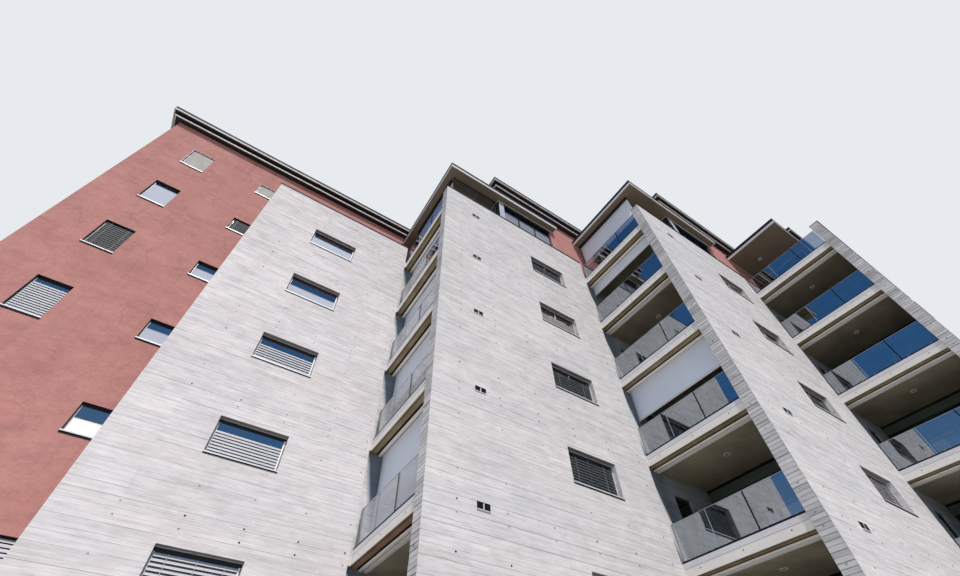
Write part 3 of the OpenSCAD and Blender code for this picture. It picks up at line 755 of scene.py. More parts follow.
cols_a = [1.04 + 1.165 * k for k in range(4)] + [5.62]
cols_b = [0.73 + 1.2 * k for k in range(6)]
cols_c = [0.62 + 1.2 * k for k in range(6)]
concrete_wall("concrete_wall_a", "front_wall_a", XA, XB, YA, 1.955, 1.30, cols_a, [], 11, CONC_A, True, False)
concrete_wall("concrete_wall_b", "front_wall_b", XB, XC, YB, 3.98, 1.21, cols_b, [(1.345, F(i) - 0.09) for i in range(1, 7)], 12, CONC, True, False)
concrete_wall("concrete_wall_c", "front_wall_c", XC, XD, YC, 3.955, 1.155, cols_c, [(1.44, F(i) - 0.10) for i in range(1, 7)], 13, CONC, True, False)
concrete_wall("concrete_wall_d", "front_wall_d", XD, XE, YD, 3.955, 1.155, cols_c, [(1.44, F(i) - 0.10) for i in range(1, 7)], 14, CONC, True, True)

# ---------------------------------------------------------------- windows
# materials: 0 frame (also painted shade liners in red reveals) 1 glass 2 light metal 3 slat 4 grey slat (also painted
# edge highlights) 5 inner blind 6 dark slat 7 gasket (also the painted shadow board under the sill) 8 bright blind
# (also the painted highlight on right guides)
WM = [FRAME, PANE, ALU, SLAT, PANEL, BLIND, SLAT_D, RUBBER, SHINE]


def slats(b, w, u0, u1, z0, z1, pitch, depth, tilt, m, d=0.072, cords=(0.18, 0.82), t=0.5, lip=False):
    n = int((z1 - z0) / pitch)
    c, s = math.cos(tilt), math.sin(tilt)
    for k in range(n):
        z = z0 + (k + 0.5) * (z1 - z0) / n
        q = []
        for e in (-0.5, -0.17, 0.17, 0.5):
            q.append((d + e * depth * c, z + e * depth * s + 0.004 * (1 - 4 * e * e)))
        low = [(x, y - 0.0016) for x, y in q[::-1]]
        b.prism(w, q + low, u0, u1, m, t)
        # lip: a grey strip along each slat's outer edge, a painted highlight
        if lip:
            b.box(w, u0 + 0.001, u1 - 0.001, q[0][0] - 0.0022, q[0][0] - 0.0002, q[0][1] - 0.003, q[0][1] + 0.004, 4, t)
    for f in cords:
        x = u0 + f * (u1 - u0)
        b.box(w, x - 0.005, x + 0.005, d - depth * 0.5 * c - 0.005, d - depth * 0.5 * c - 0.0035, z0, z1, m if not lip else 4)


def window(b, w, u0, wd, z0, h, kind="none", cover=0.8, sashes=1, rv=0.15, red=False, bright=False):
    """Slim frame and glazed sashes behind the reveal, a blind on its sill rail close in front of the glass."""
    u1, z1 = u0 + wd, z0 + h
    g = 0.0015
    f1, head, d = rv + 0.040, (0.050 if red else 0.085), rv - 0.026
    two = sashes == 2
    # sill sheet: pale front edge, black board under it as a painted shadow
    b.prism(w, [(-0.024, z0 - 0.004), (-0.021, z0 - 0.004), (-0.021, z0 + 0.026), (rv, z0 + 0.038), (rv, z0 + 0.042), (-0.024, z0 + 0.030)], u0 - 0.012, u1 + 0.012, 2)
    b.box(w, u0 - 0.008, u1 + 0.008, -0.012, -0.0015, z0 - (0.050 if red else 0.026), z0 - 0.005, 7)
    c0, c1 = z0 + 0.044, z1 - head
    # frame: black head, narrow jambs
    b.box(w, u0 + g, u1 - g, rv, f1, c1, z1 - g, 0)
    b.box(w, u0 + g, u1 - g, rv, f1, z0 + 0.0425, c0 + 0.016, 2 if not red or bright else 0)
    # red walls: black liners in the head and left reveal are painted shade; on the bright top-floor window they are
    # light metal, and its right guide is bright white as a painted highlight
    if red:
        b.box(w, u0 + 0.001, u1 - 0.001, 0.003, rv - 0.001, z1 - 0.007, z1 - 0.001, 2 if bright else 0)
        b.box(w, u0 + 0.001, u0 + 0.006, 0.003, rv - 0.001, z0 + 0.044, z1 - 0.008, 2 if bright else 0)
        left, right = [(g, 0.034, 2)], [(g, 0.016, 8 if bright else 0)]
    elif two:
        left, right = [(g, 0.030, 0), (0.030, 0.050, 4)], [(g, 0.034, 2), (0.034, 0.078, 0), (0.078, 0.100, 4)]
        b.box(w, u0 + 0.002, u1 - 0.002, rv - 0.030, rv - 0.002, z1 - 0.014, z1 - 0.0015, 2)
    else:
        # the right guide is painted bright white as a painted highlight, the left one stays light metal
        left, right = [(g, 0.018, 2), (0.018, 0.026, 7), (0.026, 0.044, 2)], [(g, 0.018, 0), (0.018, 0.052, 8)]
        b.box(w, u0 + 0.002, u1 - 0.002, rv - 0.030, rv - 0.002, z1 - 0.014, z1 - 0.0015, 2)
    for a, c, m in left:
        b.box(w, u0 + a, u0 + c, rv + (0.003 if m == 7 else 0.0), f1, c0 + 0.016, c1, m)
    for a, c, m in right:
        b.box(w, u1 - c, u1 - a, rv - (0.012 if m in (2, 8) else 0.0), f1, c0 + 0.016, c1, m)
    # sashes and glass
    a0, a1 = u0 + left[-1][1], u1 - right[-1][1]
    step = (a1 - a0) / sashes
    for k in range(sashes):
        s0, s1 = a0 + k * step, a0 + (k + 1) * step
        if k:
            b.bevelbox(w, s0 - 0.016, s0 + 0.016, rv - 0.006, f1, c0 + 0.016, c1, 0.004, 2)
        for zz in (c0 + 0.016, c1 - 0.012):
            b.box(w, s0 + 0.0165, s1 - 0.0165, rv + 0.004, rv + 0.034, zz, zz + 0.012, 0)
        b.box(w, s0 + (0.016 if k else 0), s1 - (0.016 if k < sashes - 1 else 0), rv + 0.014, rv + 0.022, c0 + 0.028, c1 - 0.012, 1)
    # dark inner lining behind the frame
    b.box(w, u0 + 0.002, u1 - 0.002, f1 + 0.001, rv + 0.150, z1 - 0.010, z1 - 0.002, 7)
    for x0 in (u0 + 0.002, u1 - 0.008):
        b.box(w, x0, x0 + 0.006, f1 + 0.001, rv + 0.150, z0 + 0.004, z1 - 0.012, 7)
    p0, p1 = u0 + (0.046 if not two else 0.052), u1 - (0.010 if red else 0.054 if not two else 0.080)
    zb, zt = z0 + 0.050, z1 - 0.030
    top = zb + cover * (zt - zb)
    if kind == "slats":      # laths from the sill up, laid steep
        slats(b, w, p0, p1, zb, top, 0.0775, 0.060, math.radians(74), 3, d=d)
    elif kind == "fine":     # closely set laths
        slats(b, w, p0, p1, zb, top, 0.0775, 0.0815, math.radians(83), 5, d=d, cords=())
    elif kind in ("mid", "dim"):
        slats(b, w, p0, p1, zb, top, 0.0775, 0.0815, math.radians(83), 4 if kind == "mid" else 6, d=d, cords=(), lip=kind == "dim")
    elif kind == "dark":     # dark laths laid steep, grey lips on their edges as painted highlights
        slats(b, w, p0, p1, zb, top, 0.080, 0.080, math.radians(78), 6, d=d, lip=True)
    elif kind == "thin":     # thick laths laid flat, widely set
        slats(b, w, p0, p1, zb, top, 0.0775, 0.058, math.radians(64), 3, d=d, cords=(0.16, 0.5, 0.84))
    elif kind == "panel":
        nb = max(2, int(round((top - zb) / 0.20)))
        for k in range(nb):
            b.bevelbox(w, p0, p1, d - 0.008, d + 0.008, zb + k * (top - zb) / nb + 0.001, zb + (k + 1) * (top - zb) / nb - 0.001, 0.003, 4)
    elif kind in ("blind", "bright"):
        b.box(w, p0, p1, d - 0.002, d + 0.002, zb, top, 5 if kind == "blind" else 8)
        b.box(w, p0, p1, d - 0.007, d + 0.007, top, top + 0.014, 5 if kind == "blind" else 8)
    if kind not in ("none", "blind", "bright"):
        b.box(w, p0, p1, d - 0.014, d + 0.014, zb - 0.012, zb + 0.004, 4)


A_STYLE = {5: ("blind", 0.61), 4: ("blind", 0.49), 3: ("slats", 0.66), 2: ("slats", 0.69), 1: ("thin", 0.91), 0: ("slats", 0.5)}
B_STYLE = {5: ("dim", 0.76), 4: ("mid", 0.60), 3: ("dark", 0.82), 2: ("dark", 0.90), 1: ("slats", 0.6), 0: ("panel", 1.0)}
C_STYLE = {5: ("none", 0), 4: ("dark", 0.6), 3: ("dark", 0.8), 2: ("thin", 0.9), 1: ("blind", 0.5), 0: ("slats", 1.0)}
D_STYLE = {5: ("slats", 0.7), 4: ("none", 0), 3: ("panel", 0.6), 2: ("dark", 1.0), 1: ("none", 0), 0: ("fine", 1.0)}
for name, x0, y, wu, sill, style, two in (("windows_a", XA, YA, 1.955, 1.30, A_STYLE, 1), ("windows_b", XB, YB, 3.98, 1.21, B_STYLE, 2),
                                          ("windows_c", XC, YC, 3.955, 1.155, C_STYLE, 2), ("windows_d", XD, YD, 3.955, 1.155, D_STYLE, 2)):
    b = Build()
    for i in range(6):
        kind, cover = style[i]
        window(b, Wall("-y", y, x0), wu, 1.65, F(i) + sill, 0.98, kind, cover, two)
    make(name, b, WM, ["windows_concrete"])

R1 = {6: ("panel", 1.0), 5: ("blind", 0.82), 4: ("dark", 1.0), 3: ("slats", 0.85), 2: ("none", 0), 1: ("slats", 0.6), 0: ("panel", 1.0)}
R2 = {6: ("panel", 1.0), 5: ("dark", 1.0), 4: ("blind", 0.54), 3: ("blind", 0.56), 2: ("bright", 0.46), 1: ("slats", 1.0), 0: ("none", 0)}
b = Build()
for i in range(7):
    window(b, Wall("-y", YR, XR), 1.205, 0.82, F(i) + 1.12, 1.27, *R1[i], rv=0.08, red=True, bright=i == 6)
    window(b, Wall("-y", YR, XR), 3.965, 0.78, F(i) + 1.52, 0.79, *R2[i], rv=0.08, red=True, bright=i == 6)
make("windows_red_front", b, WM, ["windows_red"])
rs = np.random.default_rng(5)
KINDS = (("none", 0), ("slats", 1.0), ("slats", 0.6), ("fine", 1.0), ("panel", 1.0), ("panel", 0.5), ("dark", 1.0), ("none", 0))
b = Build()
for s in (2.4, 7.4):
    for i in range(7):
        window(b, Wall("-x", XR, YR), s, 0.82, F(i) + 1.12, 1.27, *KINDS[rs.integers(8)], rv=0.08, red=True)
        window(b, Wall("+x", XE, YD), s, 0.82, F(i) + 1.12, 1.27, *KINDS[rs.integers(8)], rv=0.08, red=True)
make("windows_sides", b, WM, ["windows_red"])
b = Build()
for x0, y, cols in ((XR + T, Y4, (1.3, 4.7)), (K1 - T, Y3, (1.3, 4.7)), (K2 - T, Y2, (1.3, 4.7)), (K3 - T, Y1, (1.3,))):
    for s in cols:
        for i in range(7):
            window(b, Wall("+y", y, x0), s, 0.82, F(i) + 1.12, 1.27, *KINDS[rs.integers(8)], rv=0.08, red=True)
make("windows_rear", b, WM, ["windows_back"])

# ---------------------------------------------------------------- loggias
STACKS = ((1, XB, K1, YB + T, YA, YB + T, YR), (2, XC, K2, YC + T, YB, YC + T, A1), (3, XD, K3, YD + T, YC, A3 + 0.27, A2))


RI = 0.10


def leaf(b, w, u0, u1, d0, z0, z1, side=0.058, low=0.075, top=0.062):
    """Sliding leaf: dark frame with eased stiles, glass set back, black gasket."""
    d1 = d0 + 0.062
    b.bevelbox(w, u0, u0 + side, d0, d1, z0, z1, 0.005, 0)
    b.bevelbox(w, u1 - side, u1, d0, d1, z0, z1, 0.005, 0)
    b.box(w, u0 + side, u1 - side, d0, d1, z0, z0 + low, 0)
    b.box(w, u0 + side, u1 - side, d0, d1, z1 - top, z1, 0)
    b.box(w, u0 + side - 0.004, u1 - side + 0.004, d0 + 0.018, d0 + 0.042, z0 + low - 0.004, z1 - top + 0.004, 1)
    for a, c in ((u0 + side, u0 + side + 0.005), (u1 - side - 0.005, u1 - side)):
        b.box(w, a, c, d0 + 0.012, d0 + 0.018, z0 + low, z1 - top, 2)


for n, x, kx, y0, y1, ya, yz in STACKS:
    b = Build()
    for i in range(7):
        z0 = F(i)
        z1 = soffit(i) - (0.35 if i < 6 else 0.0)
        s, e = (y0, y1 + RI) if i < 6 else (ya, yz)
        w = Wall("-x", kx, s)
        wd = (e - s) / 4
        b.box(w, 0.002, e - s - 0.002, 0.052, 0.215, z0 + 0.001, z0 + 0.028, 3)
        b.box(w, 0.002, e - s - 0.002, 0.052, 0.215, z1 - 0.035, z1 - 0.001, 0)
        b.box(w, 0.002, e - s - 0.002, 0.126, 0.134, z0 + 0.028, z0 + 0.036, 3)
        if i < 6:
            b.box(w, 0.002, e - s - 0.002, -0.012, -0.001, soffit(i) - 0.075, soffit(i) - 0.001, 2)
        for j in range(4):
            over = 0.028
            a = j * wd - (over if j else -0.003)
            c = (j + 1) * wd + (over if j < 3 else -0.003)
            leaf(b, w, a, c, 0.060 + (j % 2) * 0.075, z0 + 0.036, z1 - 0.038)
        hz = z0 + 1.02
        for j in (0, 2):
            u = (j + 1) * wd - 0.008 if j == 0 else j * wd + 0.004
            b.box(w, u, u + 0.016, 0.036, 0.060, hz - 0.11, hz + 0.11, 3)
        if i < 6:
            ws = Wall("-y", y1 + RI, x)
            a, c, h = 0.88, 1.57, F(i) + 2.03
            b.box(ws, a + 0.002, c - 0.002, 0.052, 0.140, z0 + 0.001, z0 + 0.024, 3)
            for p, q in ((a + 0.002, a + 0.040), (c - 0.040, c - 0.002)):
                b.box(ws, p, q, 0.056, 0.134, z0 + 0.024, h - 0.002, 0)
            b.box(ws, a + 0.040, c - 0.040, 0.056, 0.134, h - 0.042, h - 0.002, 0)
            leaf(b, ws, a + 0.044, c - 0.044, 0.062, z0 + 0.030, h - 0.046, side=0.05, low=0.07, top=0.05)
            b.box(ws, c - 0.110, c - 0.098, 0.030, 0.062, z0 + 1.00, z0 + 1.14, 3)
    make("loggia_doors_%d_glazing" % n, b, [FRAME, GLASS_D, RUBBER, ALU], ["loggia_doors_%d" % n])

    # railing: three panes on the shoe, black joints, steel clamps at the shoe
    b = Build()
    w = Wall("-x", x, y0)
    wd = (y1 - y0 - 0.04) / 3
    for i in range(7):
        for j in range(3):
            u = 0.014 + j * (wd + 0.006)
            z0, z1 = F(i) + 0.045, F(i) + 0.950
            b.box(w, u, u + wd, 0.0762, 0.0958, z0, z1 - 0.002, 0, skip=(1,))
            b.prism(w, [(0.0750, z1 - 0.004), (0.0762, z1), (0.0958, z1), (0.0970, z1 - 0.004), (0.0958, z1 - 0.010), (0.0762, z1 - 0.010)], u, u + wd, 1)
            if j:
                hw = 0.017 if j == 1 else 0.008
                b.box(w, u - 0.0055, u - 0.0005, 0.0770, 0.0950, z0, z1 - 0.004, 2)
                for q in (0.0735, 0.0960):
                    b.box(w, u - 0.003 - hw, u - 0.003 + hw, q, q + 0.0025, z0 + 0.002, z1 - 0.012, 2 if j == 1 else 1)
            for k in (0.18, 0.82):
                b.box(w, u + wd * k - 0.03, u + wd * k + 0.03, 0.070, 0.0758, z0, z0 + 0.018, 3)
    make("railing_%d_panes" % n, b, [GLASS_R, EDGE, RUBBER, ALU], ["railing_%d" % n])

# screen boxes under each soffit: pale lip, dark slot, pale rear strip, end plates, fixings
b = Build()
for n, x, kx, y0, y1, ya, yz in STACKS:
    for i in range(7 if n < 3 else 6):
        z = soffit(i)
        w = Wall("-x", x, y0)
        L = y1 - y0 + (RI if i < 6 else 0.0)
        pale = 0 if i < 6 else 2
        b.prism(w, [(0.302, z - 0.001), (0.302, z - 0.026), (0.316, z - 0.040), (0.384, z - 0.040), (0.390, z - 0.034), (0.390, z - 0.001)], 0.004, L - 0.004, pale)
        b.prism(w, [(0.420, z - 0.001), (0.420, z - 0.034), (0.425, z - 0.040), (0.500, z - 0.040), (0.505, z - 0.034), (0.505, z - 0.001)], 0.004, L - 0.004, pale)
        b.prism(w, [(0.512, z - 0.001), (0.512, z - 0.034), (0.518, z - 0.040), (0.534, z - 0.040), (0.540, z - 0.034), (0.540, z - 0.001)], 0.004, L - 0.004, 3 if i < 6 else 2)
        b.box(w, 0.004, L - 0.004, 0.3905, 0.4195, z - 0.010, z - 0.001, 1)
        b.box(w, 0.004, L - 0.004, 0.5055, 0.5115, z - 0.010, z - 0.001, 1)
        for u in (0.004, L - 0.010):
            b.box(w, u, u + 0.006, 0.3905, 0.4195, z - 0.036, z - 0.010, 1)
        for k in range(1, 4):
            u = L * k / 4
            b.box(w, u - 0.001, u + 0.001, 0.3015, 0.3905, z - 0.0405, z - 0.030, 1)
make("screen_boxes_detailed", b, [STRIP, RUBBER, EAVE, LINE], ["screen_boxes"])

# drop screens: woven cloth with a bottom bar and thin side wires
DROPS = {1: {2: 2.50, 3: 1.35, 4: 2.50, 5: 0.75, 6: 1.45}, 2: {3: 1.14, 5: 0.52, 6: 1.55}}
for n, x, kx, y0, y1, ya, yz in STACKS[:2]:
    for i, drop in DROPS[n].items():
        zt, zb = soffit(i) - 0.020, soffit(i) - 0.040 - drop
        y2 = y1 + (RI if i < 6 else 0.0)
        ya_, yb_ = y0 + 0.030, y2 - 0.030
        nu, nz = 44, max(8, int((zt - zb) / 0.07))
        rr = np.random.default_rng(100 * n + i)
        ph, am = rr.uniform(0, 6.28, 4), rr.uniform(0.6, 1.2, 4)
        b = Build()

        def at(a, c, off):
            fu, fz = a / nu, c / nz
            y = ya_ + fu * (yb_ - ya_)
            z = zb + fz * (zt - zb)
            k = math.sin(math.pi * min(1, 1.2 * (1 - fz)) * 0.5)
            bow = 0.004 * am[0] * math.sin(3.1 * fu * 2 + ph[0]) + 0.0022 * am[1] * math.sin(9.0 * fu + 2.0 * fz + ph[1])
            bow += 0.0014 * am[2] * math.sin(23.0 * fu + ph[2]) * (1 - fz) + 0.003 * math.sin(math.pi * fu) * math.sin(math.pi * fz)
            edge = 0.0012 * math.exp(-min(fu, 1 - fu) * 60) * math.sin(40 * fz + ph[3])
            return (x + 0.4335 + k * bow + edge + off, y, z)

        for off in (0.0, 0.0012):
            for c in range(nz + 1):
                for a in range(nu + 1):
                    b.v.append(at(a, c, off))
        S = (nu + 1) * (nz + 1)

        def vid(a, c, s):
            return s * S + c * (nu + 1) + a

        def q(*ids):
            b.f.append(ids)
            b.m.append(0)
            b.t.append(0.5)

        for c in range(nz):
            for a in range(nu):
                q(vid(a, c, 0), vid(a, c + 1, 0), vid(a + 1, c + 1, 0), vid(a + 1, c, 0))
                q(vid(a, c, 1), vid(a + 1, c, 1), vid(a + 1, c + 1, 1), vid(a, c + 1, 1))
        for a in range(nu):
            q(vid(a, 0, 0), vid(a + 1, 0, 0), vid(a + 1, 0, 1), vid(a, 0, 1))
            q(vid(a, nz, 0), vid(a, nz, 1), vid(a + 1, nz, 1), vid(a + 1, nz, 0))
        for c in range(nz):
            q(vid(0, c, 0), vid(0, c, 1), vid(0, c + 1, 1), vid(0, c + 1, 0))
            q(vid(nu, c, 0), vid(nu, c + 1, 0), vid(nu, c + 1, 1), vid(nu, c, 1))
        cloth = make("drop_screen_%d_%d" % (n, i), b, [FABRIC], ["drop_screens"], smooth=True)
        rail = Build()
        w = Wall("-x", x, y0)
        L = y2 - y0
        rail.prism(w, [(0.421, zb - 0.028), (0.421, zb + 0.004), (0.425, zb + 0.008), (0.443, zb + 0.008), (0.447, zb + 0.004), (0.447, zb - 0.028), (0.440, zb - 0.034), (0.428, zb - 0.034)], 0.026, L - 0.026, 0)
        for u in (0.012, L - 0.018):
            rail.box(w, u, u + 0.006, 0.431, 0.437, F(i) + 0.001, soffit(i) - 0.036, 1)
            rail.box(w, u - 0.006, u + 0.012, 0.424, 0.444, F(i) + 0.001, F(i) + 0.014, 1)
        bar = make("drop_screen_bar_%d_%d" % (n, i), rail, [WHITE, ALU], ["drop_screens"])

# ceiling lights: white ring, sunk reflector, frosted glass
b = Build()
for n, x, kx, y0, y1, ya, yz in STACKS:
    for i in range(7):
        cx, cy, z = x + 1.40, (y0 + y1) / 2, soffit(i)
        if n == 3 and i == 6:
            cx, cy = x + 1.31, (A3 + A2) / 2 + 0.24
        N_ = 32
        prof = [(0.085, z - 0.0005), (0.085, z - 0.007), (0.080, z - 0.012), (0.066, z - 0.012), (0.060, z - 0.008), (0.056, z - 0.002)]
        base = len(b.v)
        for r, zz in prof:
            for k in range(N_):
                a = 2 * math.pi * k / N_
                b.v.append((cx + r * math.cos(a), cy + r * math.sin(a), zz))
        for s in range(len(prof) - 1):
            for k in range(N_):
                j = (k + 1) % N_
                b.f.append((base + s * N_ + k, base + (s + 1) * N_ + k, base + (s + 1) * N_ + j, base + s * N_ + j))
                b.m.append(0 if s < 4 else 1)
                b.t.append(0.5)
        e = len(prof) - 1
        b.f.append(tuple(base + e * N_ + k for k in range(N_))[::-1])
        b.m.append(1)
        b.t.append(0.5)
        b.f.append(tuple(base + k for k in range(N_)))
        b.m.append(0)
        b.t.append(0.5)
make("ceiling_lights", b, [SHINE, LAMP], ["downlights"])

# slab edges: dark cover strip on top, tie holes as flat discs painted near-black as painted shade, drip bead, brown
# board under the edge
b = Build()
for n, x, kx, y0, y1, ya, yz in STACKS:
    w = Wall("-x", x + 0.05, y0)
    L = y1 - y0
    for i in range(0, 6):
        zt = F(i + 1)
        b.box(w, 0.001, L - 0.001, -0.0015, 0.0005, zt - 0.131, zt - 0.126, 1)
        tone = 0.95 if (n, i) == (1, 1) else 0.35 if (n, i) == (2, 1) else 0.12
        b.box(w, 0.001, L - 0.001, 0.006, 0.040, zt - 0.336, zt - 0.3295, 2, tone * 0.8)
        b.box(w, 0.001, L + RI - 0.001, 0.040, 0.056, zt - 0.338, zt - 0.3295, 3)
        b.box(w, 0.001, L + RI - 0.001, 0.056, 0.188, zt - 0.336, zt - 0.3295, 2, tone)
        b.box(w, 0.001, L + RI - 0.001, 0.188, 0.249, zt - 0.334, zt - 0.3295, 3)
        for u in (0.45, 1.60, 2.75):
            zc = zt - 0.20
            pts = [(u + 0.016 * math.cos(2 * math.pi * k / 12), zc + 0.016 * math.sin(2 * math.pi * k / 12)) for k in range(12)]
            i0 = len(b.v)
            b.v += [w.p(p, -0.0015, q_) for p, q_ in pts] + [w.p(p, 0.0005, q_) for p, q_ in pts]
            for k in range(12):
                j = (k + 1) % 12
                b.ids(w, [i0 + k, i0 + 12 + k, i0 + 12 + j, i0 + j], 0)
            b.ids(w, [i0 + k for k in range(12)], 0)
            b.ids(w, [i0 + 12 + k for k in range(12)][::-1], 0)
make("slab_edge_trims", b, [HOLE, DARK, RECESS, RUBBER])

# ---------------------------------------------------------------- attic and roofs
b = Build()
# fixed pane on the parapet in front of the first attic loggia
w = Wall("-y", YB, XB)
b.box(w, 0.34, 2.55, 0.196, 0.208, PT + 0.02, LR - 0.03, 6)
b.box(w, 0.34, 2.55, 0.188, 0.214, PT, PT + 0.035, 2)
b.box(w, 0.34, 2.55, 0.188, 0.214, LR - 0.04, LR, 7)
b.box(w, 0.36, 2.53, 0.209, 0.212, PT + 0.035, PT + 0.40, 5)
for u in (0.34, 1.44, 2.525):
    b.box(w, u, u + 0.025, 0.190, 0.2125, PT + 0.03, LR - 0.03, 7)
for x0, y, u0, u1, dd, zb, kind in ((XB, A1, 2.92, 5.63, 0.09, PT, 1), (XC, A2, 2.92, 5.63, 0.09, PT, 0), (XD, A3, 2.92, 5.63, 0.09, AF, 0)):
    w = Wall("-y", y, x0)
    zt = LR
    b.box(w, u0 + 0.001, u1 - 0.001, dd, dd + 0.06, zb + 0.001, zb + 0.055, 0)
    b.box(w, u0 + 0.001, u1 - 0.001, dd, dd + 0.06, zt - 0.055, zt - 0.001, 0)
    nn = 3
    wd = (u1 - u0) / nn
    for k in range(nn + 1):
        c = u0 + k * wd
        a0, a1 = max(u0 + 0.001, c - 0.032), min(u1 - 0.001, c + 0.032)
        b.box(w, a0, a1, dd - 0.004, dd + 0.058, zb + 0.001, zt - 0.001, 0)
    for k in range(nn):
        b.box(w, u0 + k * wd + 0.03, u0 + (k + 1) * wd - 0.03, dd + 0.022, dd + 0.044, zb + 0.05, zt - 0.05, 1)
        if kind == 1:
            b.box(w, u0 + k * wd + 0.034, u0 + (k + 1) * wd - 0.034, dd + 0.014, dd + 0.020, zb + 0.057, zb + 1.15, 8)
            b.box(w, u0 + k * wd + 0.034, u0 + (k + 1) * wd - 0.034, dd + 0.010, dd + 0.020, zb + 1.15, zb + 1.166, 2)
    # dark head box under the wall over each ribbon window: painted shade where the reveal head lies in shadow
    b.box(w, u0 + 0.002, u1 - 0.002, 0.004, dd - 0.006, zt - 0.12, zt - 0.002, 7)
    b.prism(w, [(-0.02, zb + 0.002), (dd, zb + 0.012), (dd, zb + 0.020), (-0.02, zb + 0.008)], u0, u1, 3)
make("attic_glazing", b, [FRAME, GLASS, WHITE, ALU, RUBBER, BLIND, CLEAR, HEAD, RIBBON], ["attic_windows"])

low = {
    "b": [(XB, YB - 0.24), (XB + 5.85, YB - 0.24), (XB + 5.85, A1), (K1, A1), (K1, YR), (XB, YR)],
    "c": [(XC, YC - 0.24), (XC + 5.85, YC - 0.24), (XC + 5.85, A2), (K2, A2), (K2, A1), (XC, A1)],
    "d": [(XD, A3 - 0.285), (XD + 5.85, A3 - 0.285), (XD + 5.85, A3), (K3, A3), (K3, A2), (XD, A2)],
}
b = Build()
for key, poly in low.items():
    p1, p2, p3, p4 = inset(poly, 0.010), inset(poly, 0.045), inset(poly, 0.07), inset(poly, 0.11)
    b.prism_z(WORLD, inset(poly, 0.030), LR + 0.012, LR + 0.285, 2, 0.5, mtop=3, mbot=2)
    b.ring(p1, p2, LR, LR + 0.128, 1)
    b.ring(inset(poly, 0.004), p2, LR + 0.133, LR + 0.262, 0)
    b.ring(poly, p4, LR + 0.262, LR + 0.300, 0)
make("low_roof_plates", b, [DARK, LINE, SOFF, ROOF], ["low_roofs"])


def roof_plan(o):
    return [(XR - o, YR - o), (K1 - o, YR - o), (K1 - o, A1 - o), (K2 - o, A1 - o), (K2 - o, A2 - o), (K3 - o, A2 - o),
            (K3 - o, A3 - o), (XE + o, A3 - o), (XE + o, Y1 + o), (K3 + o, Y1 + o), (K3 + o, Y2 + o), (K2 + o, Y2 + o),
            (K2 + o, Y3 + o), (K1 + o, Y3 + o), (K1 + o, Y4 + o), (XR - o, Y4 + o)]


b = Build()
b.prism_z(WORLD, roof_plan(0.235), WT + 0.006, WT + 0.232, 0, 0.5, mbot=2)
b.ring(roof_plan(0.245), roof_plan(0.200), WT, WT + 0.052, 1)
b.ring(roof_plan(0.240), roof_plan(0.215), WT + 0.056, WT + 0.2295, 0)
make("roof_cornice_step", b, [DARK, LINE, EAVE], ["roof_cornice"])
b = Build()
z = WT + 0.23
b.prism_z(WORLD, roof_plan(0.372), z + 0.006, z + 0.190, 0, 0.5, mtop=3, mbot=2)
b.ring(roof_plan(0.390), roof_plan(0.345), z, z + 0.052, 1)
b.ring(roof_plan(0.384), roof_plan(0.350), z + 0.056, z + 0.185, 0)
b.ring(roof_plan(0.390), roof_plan(0.210), z + 0.185, z + 0.230, 0)
for x0, x1, y0, y1 in ((XR, K1, YR, Y4), (K1, K2, A1, Y3), (K2, K3, A2, Y2), (K3, XE, A3, Y1)):
    y = y0 + 0.9
    while y < y1 - 0.5:
        b.box(WORLD, x0 + (0.0 if x0 == XR else 0.05), x1 - 0.05, y, y + 0.07, z + 0.189, z + 0.1925, 3)
        y += 1.5
    for fx in (0.33, 0.66):
        x = x0 + fx * (x1 - x0)
        b.box(WORLD, x - 0.035, x + 0.035, y0 + 0.1, y1 - 0.1, z + 0.189, z + 0.1915, 3)
make("roof_top_plate", b, [DARK, LINE, EAVE, ROOF], ["roof_plate"])

# parapet caps in sheet lengths with cover strips at the joints
b = Build()


def cap(x0, x1, y0, y1, along):
    n = max(1, int(round(((x1 - x0) if along == "x" else (y1 - y0)) / 1.6)))
    for k in range(n):
        if along == "x":
            a, c = x0 + (x1 - x0) * k / n, x0 + (x1 - x0) * (k + 1) / n
            b.box(WORLD, a + (0.002 if k else 0), c - (0.002 if k < n - 1 else 0), y0, y1, PT - 0.030, PT - 0.002, 0)
            if k:
                b.box(WORLD, a - 0.04, a + 0.04, y0 - 0.0, y1, PT - 0.0305, PT, 0)
        else:
            a, c = y0 + (y1 - y0) * k / n, y0 + (y1 - y0) * (k + 1) / n
            b.box(WORLD, x0, x1, a + (0.002 if k else 0), c - (0.002 if k < n - 1 else 0), PT - 0.030, PT - 0.002, 0)
            if k:
                b.box(WORLD, x0, x1, a - 0.04, a + 0.04, PT - 0.0305, PT, 0)


o = 0.025
cap(XA - o, XB, YA - o, YA + T, "x")
cap(XA - o, XA + T, YA + T + 0.002, YR, "y")
cap(XB, XC, YB - o, YB + T, "x")
cap(XC, XD, YC - o, YC + T, "x")
cap(XD, XE + o, YD - o, YD + T, "x")
cap(XE - T, XE + o, YD + T + 0.002, A3, "y")
make("parapet_cap_sheets", b, [DARK], ["parapet_caps"])

